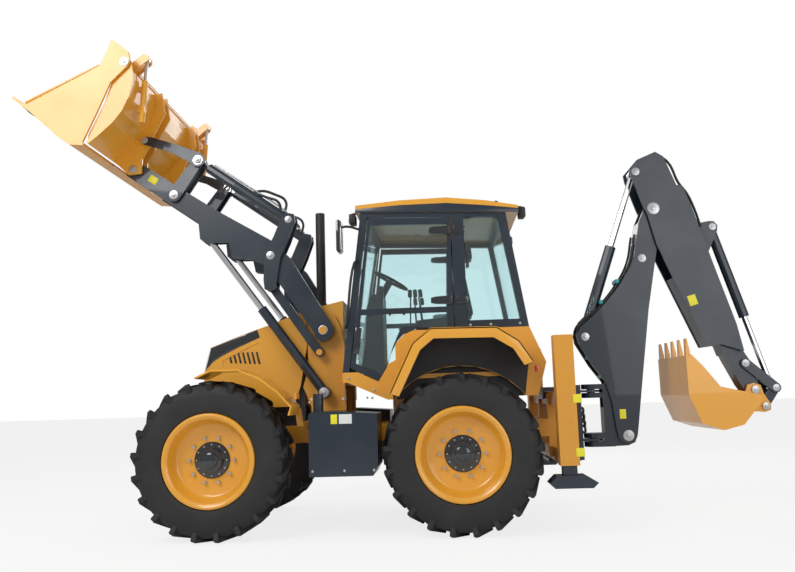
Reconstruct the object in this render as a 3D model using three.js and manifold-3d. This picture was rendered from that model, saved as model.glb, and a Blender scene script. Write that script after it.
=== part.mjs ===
// Backhoe loader: loader arms with a clam bucket at the front, a cab, and a side-shifting backhoe behind.
// Millimetres. +X is forward, +Y is the machine's left, +Z is up.
// While the pieces are drawn, X = 0 is the rear axle, Y = 0 the centre plane and Z = 0 the ground.
import * as THREE from 'three';
import { mergeVertices } from 'three/addons/utils/BufferGeometryUtils.js';
import Module from 'manifold-3d';

const wasm = await Module();
wasm.setup();

// ---------------------------------------------------------------- driving dimensions
const WHEELBASE = 2160;
const TYRE_RADIUS = 680;
const AXLE_Z = TYRE_RADIUS;       // the wheels stand on the ground
const WHEEL_Y = 940;              // wheel centre plane
const TYRE_HALF_WIDTH = 213;
const KINGPIN_Y = 745;
const SPINDLE_RADIUS = 60;

const RAIL_INNER_Y = 290;         // chassis rails
const RAIL_OUTER_Y = 370;
const RAIL_BOTTOM_Z = 770;
const RAIL_TOP_Z = 930;
const RAIL_REAR_X = -800;
const RAIL_FRONT_X = 2330;

const ARM_Y = 488;                // centre of each loader arm
const ARM_WIDTH = 100;
const LINK_PLATE = 25;            // thickness of the lever, bellcrank and bracket plates
const LAYER_GAP = 6;              // running gap between neighbouring plates
const TOWER_PLATE = 25;
const TOWER_GAP = 13;             // tower plate to arm

const HOOD_HALF = 385;
const HOOD_WALL = 13;
const CAB_HALF = 787;
const CAB_WALL = 60;
const DOOR_WALL = 35;
const BODY_HALF = 1150;           // over the fenders
const SHEET = 14;                 // fender sheet

const BUCKET_HALF = 1170;         // loader bucket
const BUCKET_PLATE = 25;

const SHIFT_FRAME_HALF = 1000;    // rear frame between the stabilizer boxes
const STABILIZER_WIDTH = 150;
const HOE_PLATE = 25;             // boom and dipper side plates
const BOOM_INNER_Y = 90;
const HOE_BUCKET_HALF = 470;

const SEAT_GAP = 0.3;             // between pieces that are bolted together
const PIN_GAP = 0.2;              // pin to bore
const ROD_GAP = 0.9;              // rod to the bore of its barrel
const ROUND = 16;                 // sides of a pin or bore

// Pivots of the loader, in the side view [x, z].
const ARM_PIVOT = [1247, 1813];
const LINK_BASE = [1290, 1608];
const LIFT_BASE = [1247, 1232];
const LIFT_EYE = [2355, 2753];
const CRANK_PIVOT = [1731, 2535];
const CRANK_LOW = [1736, 2251];
const CRANK_TOP = [1557, 2876];
const LEVER_PIVOT = [2669, 3165];
const LEVER_TOP = [2431, 3498];
const BUCKET_PIVOT = [3076, 3441];
const BUCKET_LINK_PIN = [2954, 3718];
const CLAM_PIVOT = [2934, 4271];
const CLAM_EYE = [2806, 4370];
const CLAM_BASE = [2848, 3762];
const CLAM_CYLINDER_Y = 950;

// Pivots of the backhoe.
const KING_PIN_X = -1290;
const BOOM_FOOT = [-1601, 741];
const BOOM_CYLINDER_BASE = [-1450, 1130];
const BOOM_CYLINDER_EYE = [-1847, 2445];
const DIPPER_CYLINDER_BASE = [-1250, 1695];
const DIPPER_CYLINDER_EYE = [-1838, 3311];
const DIPPER_PIVOT = [-1984, 2931];
const HOE_CYLINDER_BASE = [-2560, 2738];
const LEVER_FOOT = [-2751, 1391];
const LEVER_EYE = [-3016, 1151];
const HOE_BUCKET_PIVOT = [-2815, 1138];
const HOE_LINK_PIN = [-2900, 980];
const SLIDE_DIRECTION = [-0.3, -0.954];
const SLIDE_FOOT = [-2645, 1501];

const COLOURS = {
  yellow: new THREE.MeshStandardMaterial({ color: 0xe0a020, roughness: 0.4, metalness: 0.1 }),
  orange: new THREE.MeshStandardMaterial({ color: 0xc8781c, roughness: 0.5, metalness: 0.1 }),
  slate: new THREE.MeshStandardMaterial({ color: 0x1c2d3e, roughness: 0.45, metalness: 0.2 }),
  steel: new THREE.MeshStandardMaterial({ color: 0xb8bcc0, roughness: 0.25, metalness: 0.9 }),
  black: new THREE.MeshStandardMaterial({ color: 0x17181a, roughness: 0.8, metalness: 0 }),
  tyre: new THREE.MeshStandardMaterial({ color: 0x1b1b1c, roughness: 0.95, metalness: 0 }),
};

// ---------------------------------------------------------------- solids
function solidOf(geometry) {
  geometry.deleteAttribute('normal');
  geometry.deleteAttribute('uv');
  const merged = mergeVertices(geometry, 1e-3);
  const vertProperties = new Float32Array(merged.attributes.position.array);
  const triVerts = new Uint32Array(merged.index.array);
  return new wasm.Manifold(new wasm.Mesh({ numProp: 3, vertProperties, triVerts }));
}

function geometryOf(solid) {
  const mesh = solid.getMesh();
  const geometry = new THREE.BufferGeometry();
  geometry.setAttribute('position', new THREE.BufferAttribute(mesh.vertProperties, 3));
  geometry.setIndex(new THREE.BufferAttribute(mesh.triVerts, 1));
  geometry.computeVertexNormals();
  return geometry;
}

const join = (...solids) => solids.reduce((all, one) => all.add(one));
const cut = (solid, ...tools) => tools.reduce((left, tool) => left.subtract(tool), solid);

/** The radius of a many-sided hole whose flats clear a round pin by the running gap. */
const holeRadius = (pinRadius) => (pinRadius + PIN_GAP) / Math.cos(Math.PI / ROUND);

/** The Y span of a piece on one side: side 1 is left, side -1 its mirror image. */
const spanOf = (y0, y1, side) => (side > 0 ? [y0, y1] : [-y1, -y0]);

/** A plate with its outline in the side view and its thickness along Y. */
function plate(outline, y0, y1, side = 1) {
  const [low, high] = spanOf(y0, y1, side);
  const shape = new THREE.Shape(outline.map(([x, z]) => new THREE.Vector2(x, z)));
  const geometry = new THREE.ExtrudeGeometry(shape, { depth: high - low, bevelEnabled: false });
  geometry.rotateX(Math.PI / 2);
  geometry.translate(0, high, 0);
  return solidOf(geometry);
}

/** A plate with its outline in the plan view and its thickness along Z. */
function deck(outline, z0, z1) {
  const shape = new THREE.Shape(outline.map(([x, y]) => new THREE.Vector2(x, y)));
  const geometry = new THREE.ExtrudeGeometry(shape, { depth: z1 - z0, bevelEnabled: false });
  geometry.translate(0, 0, z0);
  return solidOf(geometry);
}

function box(x0, x1, y0, y1, z0, z1, side = 1) {
  const [low, high] = spanOf(y0, y1, side);
  const geometry = new THREE.BoxGeometry(x1 - x0, high - low, z1 - z0);
  geometry.translate((x0 + x1) / 2, (low + high) / 2, (z0 + z1) / 2);
  return solidOf(geometry);
}

/** A round pin along Y. */
function pin([x, z], radius, y0, y1, side = 1, sides = ROUND) {
  const [low, high] = spanOf(y0, y1, side);
  const geometry = new THREE.CylinderGeometry(radius, radius, high - low, sides);
  geometry.translate(x, (low + high) / 2, z);
  return solidOf(geometry);
}

/** A round post along Z. */
function post(x, y, radius, z0, z1, sides = ROUND) {
  const geometry = new THREE.CylinderGeometry(radius, radius, z1 - z0, sides);
  geometry.rotateX(Math.PI / 2);
  geometry.translate(x, y, (z0 + z1) / 2);
  return solidOf(geometry);
}

/** A point on the way from one side-view point to another, a given distance from the first. */
function along([ax, az], [bx, bz], distance) {
  const length = Math.hypot(bx - ax, bz - az);
  return [ax + ((bx - ax) * distance) / length, az + ((bz - az) * distance) / length];
}

/** A round bar between two side-view points at one Y. */
function bar(from, to, y, radius, sides = 10) {
  const start = new THREE.Vector3(from[0], y, from[1]);
  const end = new THREE.Vector3(to[0], y, to[1]);
  const direction = end.clone().sub(start);
  const geometry = new THREE.CylinderGeometry(radius, radius, direction.length(), sides);
  const turn = new THREE.Quaternion().setFromUnitVectors(new THREE.Vector3(0, 1, 0), direction.normalize());
  geometry.applyQuaternion(turn);
  geometry.translate((start.x + end.x) / 2, y, (start.z + end.z) / 2);
  return solidOf(geometry);
}

/** The outline of a link with a round end about each of two points. */
function linkOutline([ax, az], [bx, bz], startRadius, endRadius = startRadius, steps = 5) {
  const heading = Math.atan2(bz - az, bx - ax);
  const outline = [];
  for (let i = 0; i <= steps; i += 1) {
    const angle = heading + Math.PI / 2 + (Math.PI * i) / steps;
    outline.push([ax + startRadius * Math.cos(angle), az + startRadius * Math.sin(angle)]);
  }
  for (let i = 0; i <= steps; i += 1) {
    const angle = heading - Math.PI / 2 + (Math.PI * i) / steps;
    outline.push([bx + endRadius * Math.cos(angle), bz + endRadius * Math.sin(angle)]);
  }
  return outline;
}

/** A bent strip: an open line of side-view points given a thickness on its right-hand side. */
function stripOutline(points, thickness) {
  const inner = points.map(([x, z], i) => {
    const [px, pz] = points[Math.max(i - 1, 0)];
    const [nx, nz] = points[Math.min(i + 1, points.length - 1)];
    const length = Math.hypot(nx - px, nz - pz);
    return [x + ((nz - pz) / length) * thickness, z - ((nx - px) / length) * thickness];
  });
  return [...points, ...inner.reverse()];
}

const machine = new THREE.Group();

function addNode(name, material, solid) {
  const mesh = new THREE.Mesh(geometryOf(solid), COLOURS[material]);
  mesh.name = name;
  machine.add(mesh);
}

const SIDES = [['left', 1], ['right', -1]];

// ---------------------------------------------------------------- chassis
const PLATE_OUTER_LOW = ARM_Y + ARM_WIDTH / 2 + LAYER_GAP;          // outer lever plates
const PLATE_OUTER_HIGH = PLATE_OUTER_LOW + LINK_PLATE;
const PLATE_INNER_HIGH = ARM_Y - ARM_WIDTH / 2 - LAYER_GAP;         // inner lever plates
const PLATE_INNER_LOW = PLATE_INNER_HIGH - LINK_PLATE;
const ARM_LOW = ARM_Y - ARM_WIDTH / 2;
const ARM_HIGH = ARM_Y + ARM_WIDTH / 2;
const TOWER_HIGH = ARM_LOW - TOWER_GAP;
const TOWER_LOW = TOWER_HIGH - TOWER_PLATE;
const BIG_PIN = 35;
const PIN = 30;
const SLOT_LOW = ARM_Y - LINK_PLATE;                                 // middle zone inside an arm
const SLOT_HIGH = ARM_Y + LINK_PLATE;

const BEAM = { rear: -957, front: -837, upperLow: 1060, upperHigh: 1180, lowerLow: 560, lowerHigh: 680 };
const STABILIZER = { rear: -957, front: -797, low: 568, high: 1650, wall: 12, play: 10 };

function stabilizerTube(side) {
  const { rear, front, low, high, wall, play } = STABILIZER;
  const inner = SHIFT_FRAME_HALF;
  const outer = SHIFT_FRAME_HALF + STABILIZER_WIDTH;
  const tube = box(rear, front, inner, outer, low, high, side);
  const bore = box(rear + wall, front - wall, inner + wall, outer - wall, low + 35, high - wall, side);
  const room = wall + play - PIN_GAP;
  const mouth = box(rear + room, front - room, inner + room, outer - room, low - 1, low + 36, side);
  return cut(tube, bore, mouth);
}

function mainFrame() {
  const rails = SIDES.map(([, side]) =>
    box(RAIL_REAR_X - 40, RAIL_FRONT_X, RAIL_INNER_Y, RAIL_OUTER_Y, RAIL_BOTTOM_Z, RAIL_TOP_Z, side));
  const crossbars = [RAIL_REAR_X, -100, 1180, WHEELBASE - 100].map((x) =>
    box(x, x + 200, -RAIL_INNER_Y - 5, RAIL_INNER_Y + 5, RAIL_BOTTOM_Z, RAIL_TOP_Z));
  const nose = box(RAIL_FRONT_X - 40, RAIL_FRONT_X + 70, -360, 360, RAIL_BOTTOM_Z, 1090);
  const towerOutline = [[1057, 880], [1385, 880], [1385, 1100], [1460, 1290], [1400, 1500],
      [1370, 1850], [1325, 1960],
    [1240, 2000], [1150, 1960], [1100, 1850], [1057, 1650]];
  const towers = SIDES.map(([, side]) => {
    const foot = box(1057, 1385, RAIL_OUTER_Y - 5, TOWER_LOW + 5, 880, RAIL_TOP_Z - 5, side);
    const web = cut(plate(towerOutline, TOWER_LOW, TOWER_HIGH, side),
      pin(LIFT_BASE, holeRadius(BIG_PIN), TOWER_LOW - 1, TOWER_HIGH + 1, side));
    const armPin = pin(ARM_PIVOT, BIG_PIN, TOWER_HIGH - 5, ARM_HIGH + 12, side);
    const linkPin = pin(LINK_BASE, PIN, TOWER_HIGH - 5, SLOT_HIGH, side);
    const flange = box(1057, 1072, TOWER_LOW - 2, ARM_LOW + 70, 1150, 1650, side);
    return join(foot, web, armPin, linkPin, flange);
  });
  const beams = [[BEAM.upperLow, BEAM.upperHigh], [BEAM.lowerLow, BEAM.lowerHigh]].map(([low, high]) =>
    box(BEAM.rear, BEAM.front, -SHIFT_FRAME_HALF - 5, SHIFT_FRAME_HALF + 5, low, high));
  const risers = SIDES.map(([, side]) =>
    box(BEAM.rear + 30, BEAM.front + 20, 300, 360, BEAM.lowerLow + 20, BEAM.upperHigh - 20, side));
  const tubes = SIDES.map(([, side]) => stabilizerTube(side));
  return join(...rails, ...crossbars, nose, ...towers, ...beams, ...risers, ...tubes);
}

addNode('main_frame', 'orange', mainFrame());

addNode('engine_block', 'black', join(
  box(1560, 2230, -250, 250, RAIL_TOP_Z + SEAT_GAP, 1420),
  box(1640, 2150, -160, 160, 1400, 1600),
  ...SIDES.map(([, side]) => box(1700, 1800, 240, 340, RAIL_TOP_Z + SEAT_GAP, 1000, side)),
));

const EXHAUST = { x: 1375, y: -250, radius: 45, top: 3110 };

function rearCowl() {
  const outline = [[1074, 1300], [1418, 1300], [1418, 1990], [1400, 2030], [1074, 2100]];
  const roomOutline = [[1074 + HOOD_WALL, 1290], [1405, 1290], [1405, 1980], [1390, 2016], [1087, 2084]];
  const half = HOOD_HALF;
  const shell = cut(plate(outline, -half, half), plate(roomOutline, HOOD_WALL - half, half - HOOD_WALL));
  const feet = SIDES.map(([, side]) =>
    box(1090, 1130, 340, HOOD_HALF - 2, RAIL_TOP_Z + SEAT_GAP, 1310, side));
  const pipe = cut(post(EXHAUST.x, EXHAUST.y, EXHAUST.radius, 1900, EXHAUST.top),
    post(EXHAUST.x, EXHAUST.y, EXHAUST.radius - 8, 2100, EXHAUST.top + 5),
    plate([[1300, 3160], [1300, 3110], [1440, 3040], [1440, 3160]], -400, -100));
  const hingeEars = SIDES.map(([, side]) => box(1410, 1426 - SEAT_GAP, 366, HOOD_HALF, 1900, 1960, side));
  return join(shell, ...feet, ...hingeEars, pipe);
}

addNode('rear_cowl', 'yellow', rearCowl());

/** The hood opens about its rear upper edge, so its rear edge leans forward at the bottom. */
function hood() {
  const outline = [[1426, 1985], [1426, 1680], [1490, 1308], [1560, 1110], [2425, 1110], [2413, 1466],
    [2357, 1692], [2080, 1795], [1782, 1892], [1490, 2000]];
  const room = [[1400, 1960], [1400, 1600], [1460, 1308], [1500, 1100], [2410, 1100], [2398, 1466],
    [2345, 1682], [2080, 1780], [1782, 1878], [1490, 1985], [1400, 1985]];
  const recess = [[2242, 1562], [1899, 1725], [1825, 1664], [1857, 1434], [2242, 1504]];
  const shell = cut(plate(outline, -HOOD_HALF, HOOD_HALF),
    plate(room, HOOD_WALL - HOOD_HALF, HOOD_HALF - HOOD_WALL));
  const dents = SIDES.map(([, side]) => plate(recess, HOOD_HALF - 6, HOOD_HALF + 1, side));
  return cut(shell, ...dents);
}

addNode('hood', 'yellow', hood());

function frontFenders() {
  const crown = [[2278, 1388], [2138, 1449], [1898, 1448], [1712, 1370], [1554, 1249], [1436, 1118],
      [1457, 1042]];
  const bracket = [[1400, 940], [1458, 940], [1470, 1030], [1472, 1060], [1444, 1110], [1425, 1090]];
  const crossTie = box(1400, 1458, -RAIL_OUTER_Y - 5, RAIL_OUTER_Y + 5, RAIL_TOP_Z + SEAT_GAP, 975);
  const sides = SIDES.map(([, side]) => join(
    plate(stripOutline([...crown].reverse(), SHEET), 742, BODY_HALF, side),
    plate(bracket, 742, 770, side),
    box(1400, 1458, RAIL_OUTER_Y - 10, 770, 940, 975, side),
  ));
  return join(crossTie, ...sides);
}

addNode('front_fenders', 'yellow', frontFenders());

function frontAxle() {
  const eye = (side) => cut(
    join(box(WHEELBASE - 60, WHEELBASE + 60, 500, 700, AXLE_Z - 50, AXLE_Z + 50, side),
      post(WHEELBASE, side * KINGPIN_Y, 55, AXLE_Z - 60, AXLE_Z + 60)),
    post(WHEELBASE, side * KINGPIN_Y, holeRadius(25), AXLE_Z - 61, AXLE_Z + 61));
  const beam = box(WHEELBASE - 60, WHEELBASE + 60, -510, 510, AXLE_Z - 60, AXLE_Z + 60);
  const housing = pin([WHEELBASE, AXLE_Z], 85, -150, 150);
  const trunnion = box(WHEELBASE - 80, WHEELBASE + 80, -90, 90, AXLE_Z, RAIL_BOTTOM_Z - SEAT_GAP);
  return join(beam, housing, trunnion, eye(1), eye(-1));
}

addNode('front_axle', 'slate', frontAxle());

const SPINDLE_END = WHEEL_Y + 105;

addNode('rear_axle', 'slate', join(
  box(-70, 70, -700, 700, AXLE_Z - 70, AXLE_Z + 70),
  pin([0, AXLE_Z], 88, -170, 170),
  pin([0, AXLE_Z], SPINDLE_RADIUS, -SPINDLE_END, SPINDLE_END),
  pin([0, AXLE_Z], 110, 690, 800),
  pin([0, AXLE_Z], 110, -800, -690),
  box(-80, 80, -RAIL_OUTER_Y, RAIL_OUTER_Y, AXLE_Z, RAIL_BOTTOM_Z - SEAT_GAP),
));

for (const [name, side] of SIDES) {
  const z = AXLE_Z;
  addNode(`front_knuckle_${name}`, 'slate', join(
    box(WHEELBASE - 55, WHEELBASE + 55, KINGPIN_Y - 50, 850, z + 66, z + 92, side),
    box(WHEELBASE - 55, WHEELBASE + 55, KINGPIN_Y - 50, 850, z - 92, z - 66, side),
    box(WHEELBASE - 55, WHEELBASE + 55, 815, 850, z - 92, z + 92, side),
    post(WHEELBASE, side * KINGPIN_Y, 25, z - 70, z + 70),
    pin([WHEELBASE, z], SPINDLE_RADIUS, 845, SPINDLE_END, side),
  ));
}

/** A wheel and its tyre, turned about the axle line, with the dish facing outwards. */
function wheel(x, side) {
  const half = TYRE_HALF_WIDTH;
  const bore = SPINDLE_RADIUS + 1.4;    // clears the many-sided spindle all the way round
  const profile = [[bore, 15], [bore, 95], [130, 95], [150, 45], [300, 55], [335, 110], [380, 185],
    [398, 195], [430, half - 8], [560, half], [640, half - 8], [TYRE_RADIUS, half - 28],
    [TYRE_RADIUS, 28 - half], [640, 8 - half], [560, -half], [430, 8 - half], [398, -195],
    [372, -185], [345, -90], [325, 15]];
  const points = [...profile, profile[0]].reverse().map(([r, y]) => new THREE.Vector2(r, y));
  const geometry = new THREE.LatheGeometry(points, 20);
  if (side < 0) geometry.rotateX(Math.PI);
  geometry.translate(x, side * WHEEL_Y, AXLE_Z);
  return solidOf(geometry);
}

for (const [end, x] of [['front', WHEELBASE], ['rear', 0]]) {
  for (const [name, side] of SIDES) addNode(`${end}_wheel_${name}`, 'tyre', wheel(x, side));
}

const TANK = { inner: 600, outer: 1100 };

function sideTanks() {
  const outline = [[715, 600], [760, 522], [1302, 522], [1302, 1040], [1280, 1066], [1063, 1066],
      [715, 1040]];
  const tanks = SIDES.map(([, side]) => plate(outline, TANK.inner, TANK.outer, side));
  const hanger = box(880, 1020, -TANK.inner - 5, TANK.inner + 5, 640, RAIL_BOTTOM_Z - SEAT_GAP);
  const neck = post(1238, BODY_HALF - 200, 45, 1060, 1218);
  return join(...tanks, hanger, neck);
}

addNode('side_tanks', 'slate', sideTanks());

// ---------------------------------------------------------------- cab
const ROOF_REAR = [-596, 2803];
const ROOF_FRONT = [891, 2861];
const CAB_INNER = CAB_HALF - CAB_WALL;

/** The height of the roof's underside at a place along the cab. */
function roofUnderside(x) {
  const share = (x - ROOF_REAR[0]) / (ROOF_FRONT[0] - ROOF_REAR[0]);
  return ROOF_REAR[1] + share * (ROOF_FRONT[1] - ROOF_REAR[1]);
}

// The door's outline: the lower rear edge follows the fender with room to swing over it.
const DOOR = [[26, 2778], [776, 2800], [968, 1440], [715, 1320], [640, 1440], [600, 1560], [545, 1665],
  [480, 1735], [370, 1775], [26, 1775]];
const DOOR_PLAY = 6;
const HINGE_X = 16;

function grow(outline, amount) {
  const middle = outline.reduce(([sx, sz], [x, z]) => [sx + x / outline.length, sz + z / outline.length], [0, 0]);
  return outline.map(([x, z]) => {
    const reach = Math.hypot(x - middle[0], z - middle[1]);
    return [x + ((x - middle[0]) * amount) / reach, z + ((z - middle[1]) * amount) / reach];
  });
}

const CAB_SPLIT = 1760;           // the pillars stand on the lower body here

function cabLower() {
  const side = [[1040, 1400], [1040, 1330], [640, 1150], [-690, 1150], [-775, 1440], [-640, CAB_SPLIT],
    [380, CAB_SPLIT]];
  const doorway = grow(DOOR, DOOR_PLAY * 1.5);
  const fenderCrown = [[604, 1200], [397, 1623], [235, 1748], [-324, 1741], [-512, 1618], [-631, 1435]];
  const walls = SIDES.map(([, s]) => cut(
    plate([...side, [560, CAB_SPLIT], [700, 1480], [1040, 1440]], CAB_INNER, CAB_HALF, s),
    plate(doorway, CAB_INNER - 1, CAB_HALF + 1, s),
    pin([0, AXLE_Z], TYRE_RADIUS + 70, CAB_INNER - 1, CAB_HALF + 1, s, 32),
    plate([[560, 1900], [560, 1500], [760, 1400], [1100, 1400], [1100, 1900]], CAB_INNER - 1,
        CAB_HALF + 1, s)));
  const fenders = SIDES.map(([, s]) =>
    plate(stripOutline([...fenderCrown].reverse(), SHEET), CAB_HALF - 4, BODY_HALF, s));
  const floor = box(-700, 985, -CAB_INNER - 5, CAB_INNER + 5, 1330, 1370);
  const front = box(985, 1040, -CAB_HALF, CAB_HALF, 1310, 1400);
  const rear = plate([[-690, 1150], [-775, 1440], [-640, CAB_SPLIT], [-600, CAB_SPLIT], [-720, 1440],
      [-650, 1150]],
    -CAB_INNER - 5, CAB_INNER + 5);
  const plinth = box(-560, -80, -400, 400, 1360, 1700);
  const mounts = SIDES.flatMap(([, s]) => [[-560, -440], [500, 620]].map(([x0, x1]) =>
    box(x0, x1, RAIL_INNER_Y + 5, RAIL_OUTER_Y - 5, RAIL_TOP_Z + SEAT_GAP, 1335, s)));
  return join(...walls, ...fenders, floor, front, rear, plinth, ...mounts);
}

addNode('cab_lower', 'yellow', cabLower());

const ROOF_RAIL = 42;

/** Each side is three pillars between the roof rail and the lower body, left open for door and windows. */
function cabSide(side) {
  const top = (x) => roofUnderside(x) - SEAT_GAP;
  const foot = CAB_SPLIT + SEAT_GAP;
  const outlines = [
    [[782, top(782)], [845, top(845)], [1040, 1400 + SEAT_GAP], [980, 1400 + SEAT_GAP]],
    [[-95, top(-95)], [HINGE_X, top(HINGE_X)], [HINGE_X, foot], [-95, foot]],
    [[-480, top(-480)], [-400, top(-400)], [-562, 1840], [-562, foot], [-640, foot]],
    [[-478, top(-478)], [840, top(840)], [840, top(840) - ROOF_RAIL], [-478, top(-478) - ROOF_RAIL]],
    [[-636, foot], [HINGE_X - 4, foot], [HINGE_X - 4, 1832], [-620, 1832]],
  ];
  return join(...outlines.map((outline) => plate(outline, CAB_INNER, CAB_HALF, side)));
}

function cabFrame() {
  const top = (x) => roofUnderside(x) - SEAT_GAP;
  const inner = CAB_INNER + 5;
  const header = box(775, 835, -inner, inner, top(775) - 52, top(775) - 2);
  const rearHeader = box(-472, -405, -inner, inner, top(-478) - 62, top(-478) - 2);
  const foot = 1400 + SEAT_GAP;
  const sill = plate([[985, foot], [1036, foot], [1028, 1450], [977, 1450]], -inner, inner);
  const rearSill = plate([[-634, CAB_SPLIT + SEAT_GAP], [-564, CAB_SPLIT + SEAT_GAP], [-552, 1820],
      [-620, 1820]],
    -inner, inner);
  return join(cabSide(1), cabSide(-1), header, rearHeader, sill, rearSill);
}

addNode('cab_frame', 'slate', cabFrame());

addNode('cab_roof', 'yellow', plate([ROOF_FRONT, [891, 2925], [480, 2958], [56, 2967], [-300, 2925],
    [-596, 2867],
  ROOF_REAR], -CAB_HALF - 12, CAB_HALF + 12));

function seat() {
  const cushion = box(-150, 380, -260, 260, 1800, 1930);
  const back = plate([[-20, 1900], [10, 2140], [-50, 2480], [-170, 2480], [-150, 1850]], -250, 250);
  const headrest = plate([[-105, 2510], [-115, 2680], [-190, 2680], [-200, 2510]], -140, 140);
  const stalk = box(-160, -120, -60, 60, 2450, 2520);
  const base = box(-300, 100, -180, 180, 1700 + SEAT_GAP, 1810);
  return join(cushion, back, headrest, stalk, base);
}

addNode('seat', 'black', seat());

function console() {
  const dash = plate([[700, 1370 + SEAT_GAP], [900, 1370 + SEAT_GAP], [860, 2050], [800, 2180],
      [700, 2150]], -220, 220);
  const column = bar([800, 2050], [640, 2325], 0, 35, 12);
  const rim = new THREE.TorusGeometry(170, 15, 8, 24);
  const lean = new THREE.Vector3(-0.5, 0, 0.866);
  rim.applyQuaternion(new THREE.Quaternion().setFromUnitVectors(new THREE.Vector3(0, 0, 1), lean));
  rim.translate(630, 0, 2330);
  const spoke = box(620, 640, -170, 170, 2320, 2340);
  return join(dash, column, solidOf(rim), spoke);
}

addNode('console', 'black', console());

for (const [name, side] of SIDES) {
  const belt = box(0, 1000, CAB_INNER, CAB_HALF, 1915, 1965, side);
  const inside = grow(DOOR, -62);
  const opening = cut(plate(inside, CAB_INNER, CAB_HALF + 1, side), belt);
  const skin = plate(DOOR, CAB_HALF - DOOR_WALL, CAB_HALF, side);
  const knuckles = [2021, 2662].map((z) => box(30, 120, CAB_HALF - 5, CAB_HALF + 20, z - 30, z + 30, side));
  addNode(`door_${name}`, 'slate', join(cut(skin, opening), ...knuckles));
}

// ---------------------------------------------------------------- loader
const boss = (point, radius, y0, y1, side) => pin(point, radius, y0, y1, side);
const bore = (point, radius, y0, y1, side) => pin(point, holeRadius(radius), y0 - 1, y1 + 1, side);

const LUG_SLOT = 36;              // half the slot that the lift cylinder's rod eye sits in

function loaderArm(side) {
  const outline = [[1182, 1893], [1562, 2522], [1738, 2691], [2244, 2993], [2568, 3205], [3040, 3525],
    [3110, 3530], [3160, 3465], [3146, 3386], [2697, 3072], [2436, 2887], [2420, 2729], [2355, 2672],
    [2290, 2684], [2142, 2684], [2111, 2544], [1933, 2521], [1785, 2445], [1655, 2265], [1335, 1793],
    [1315, 1735], [1260, 1707], [1195, 1722], [1150, 1780], [1150, 1840]];
  const linkSlot = [[1400, 1700], [1400, 1935], [1690, 2320], [1815, 2490], [1940, 2570], [2150, 2630],
    [2200, 2500], [1900, 2200]];
  const lugSlot = [[2130, 2500], [2130, 2790], [2300, 2880], [2480, 2985], [2530, 2960], [2530, 2700],
      [2300, 2600]];
  return cut(plate(outline, ARM_LOW, ARM_HIGH, side),
    plate(linkSlot, SLOT_LOW, SLOT_HIGH, side),
    plate(lugSlot, ARM_Y - LUG_SLOT, ARM_Y + LUG_SLOT, side),
    bore(ARM_PIVOT, BIG_PIN, ARM_LOW, ARM_HIGH, side),
    bore(CRANK_PIVOT, BIG_PIN, ARM_LOW, ARM_HIGH, side),
    bore(LEVER_PIVOT, BIG_PIN, ARM_LOW, ARM_HIGH, side),
    bore(BUCKET_PIVOT, BIG_PIN, ARM_LOW, ARM_HIGH, side));
}

addNode('loader_arms', 'slate', join(loaderArm(1), loaderArm(-1),
  pin([2480, 2985], 45, -ARM_LOW - 5, ARM_LOW + 5)));

for (const [name, side] of SIDES) {
  const cheek = [[1495, 2856], [1500, 2925], [1557, 2940], [1615, 2920], [1704, 2710], [1790, 2560],
      [1800, 2300],
    [1790, 2215], [1736, 2190], [1680, 2215], [1672, 2300], [1640, 2500], [1560, 2680]];
  const plates = [[PLATE_INNER_LOW, PLATE_INNER_HIGH], [PLATE_OUTER_LOW, PLATE_OUTER_HIGH]].map(([y0, y1]) =>
    plate(cheek, y0, y1, side));
  addNode(`bellcrank_${name}`, 'slate', join(...plates,
    pin(CRANK_PIVOT, BIG_PIN, PLATE_INNER_LOW, PLATE_OUTER_HIGH, side),
    pin(CRANK_TOP, PIN, PLATE_INNER_LOW, PLATE_OUTER_HIGH, side)));
}

for (const [name, side] of SIDES) {
  const rod = plate(linkOutline(LINK_BASE, CRANK_LOW, 42, 40), ARM_Y - 20, ARM_Y + 20, side);
  addNode(`levelling_link_${name}`, 'slate', cut(join(rod,
    boss(LINK_BASE, 44, ARM_LOW - 4, SLOT_HIGH - 1, side),
    boss(CRANK_LOW, 40, ARM_LOW - 4, ARM_HIGH + 4, side)),
  bore(LINK_BASE, PIN, ARM_LOW - 4, ARM_HIGH, side)));
}

// Cylinders: the barrel turns about its base, and the rod slides in it.
const LIFT = { barrel: 997, radius: 46, rod: 30, tail: 1075 };
const TILT = { barrel: 970, radius: 48, rod: 28, tail: 560 };

function barrel(base, eye, y, { barrel: length, radius, rod }, floor) {
  const end = along(base, eye, length);
  const tube = bar(base, end, y, radius);
  return cut(tube, bar(along(base, eye, floor), along(base, eye, length + 5), y, rod + ROD_GAP));
}

const liftBarrels = SIDES.map(([, side]) => join(
  barrel(LIFT_BASE, LIFT_EYE, side * ARM_Y, LIFT, 70),
  pin(LIFT_BASE, 56, ARM_LOW + 1, ARM_HIGH - 1, side)));
addNode('lift_barrels', 'slate', join(...liftBarrels, pin(LIFT_BASE, BIG_PIN, 10 - ARM_HIGH,
    ARM_HIGH - 10)));

for (const [name, side] of SIDES) {
  const rod = bar(along(LIFT_EYE, LIFT_BASE, LIFT.tail), LIFT_EYE, side * ARM_Y, LIFT.rod);
  const eye = pin(LIFT_EYE, 48, ARM_Y - 19, ARM_Y + 19, side);
  addNode(`lift_rod_${name}`, 'steel', join(rod, eye, pin(LIFT_EYE, 24, ARM_Y - LUG_SLOT + SEAT_GAP,
      ARM_Y + LUG_SLOT - SEAT_GAP, side)));
}

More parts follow.
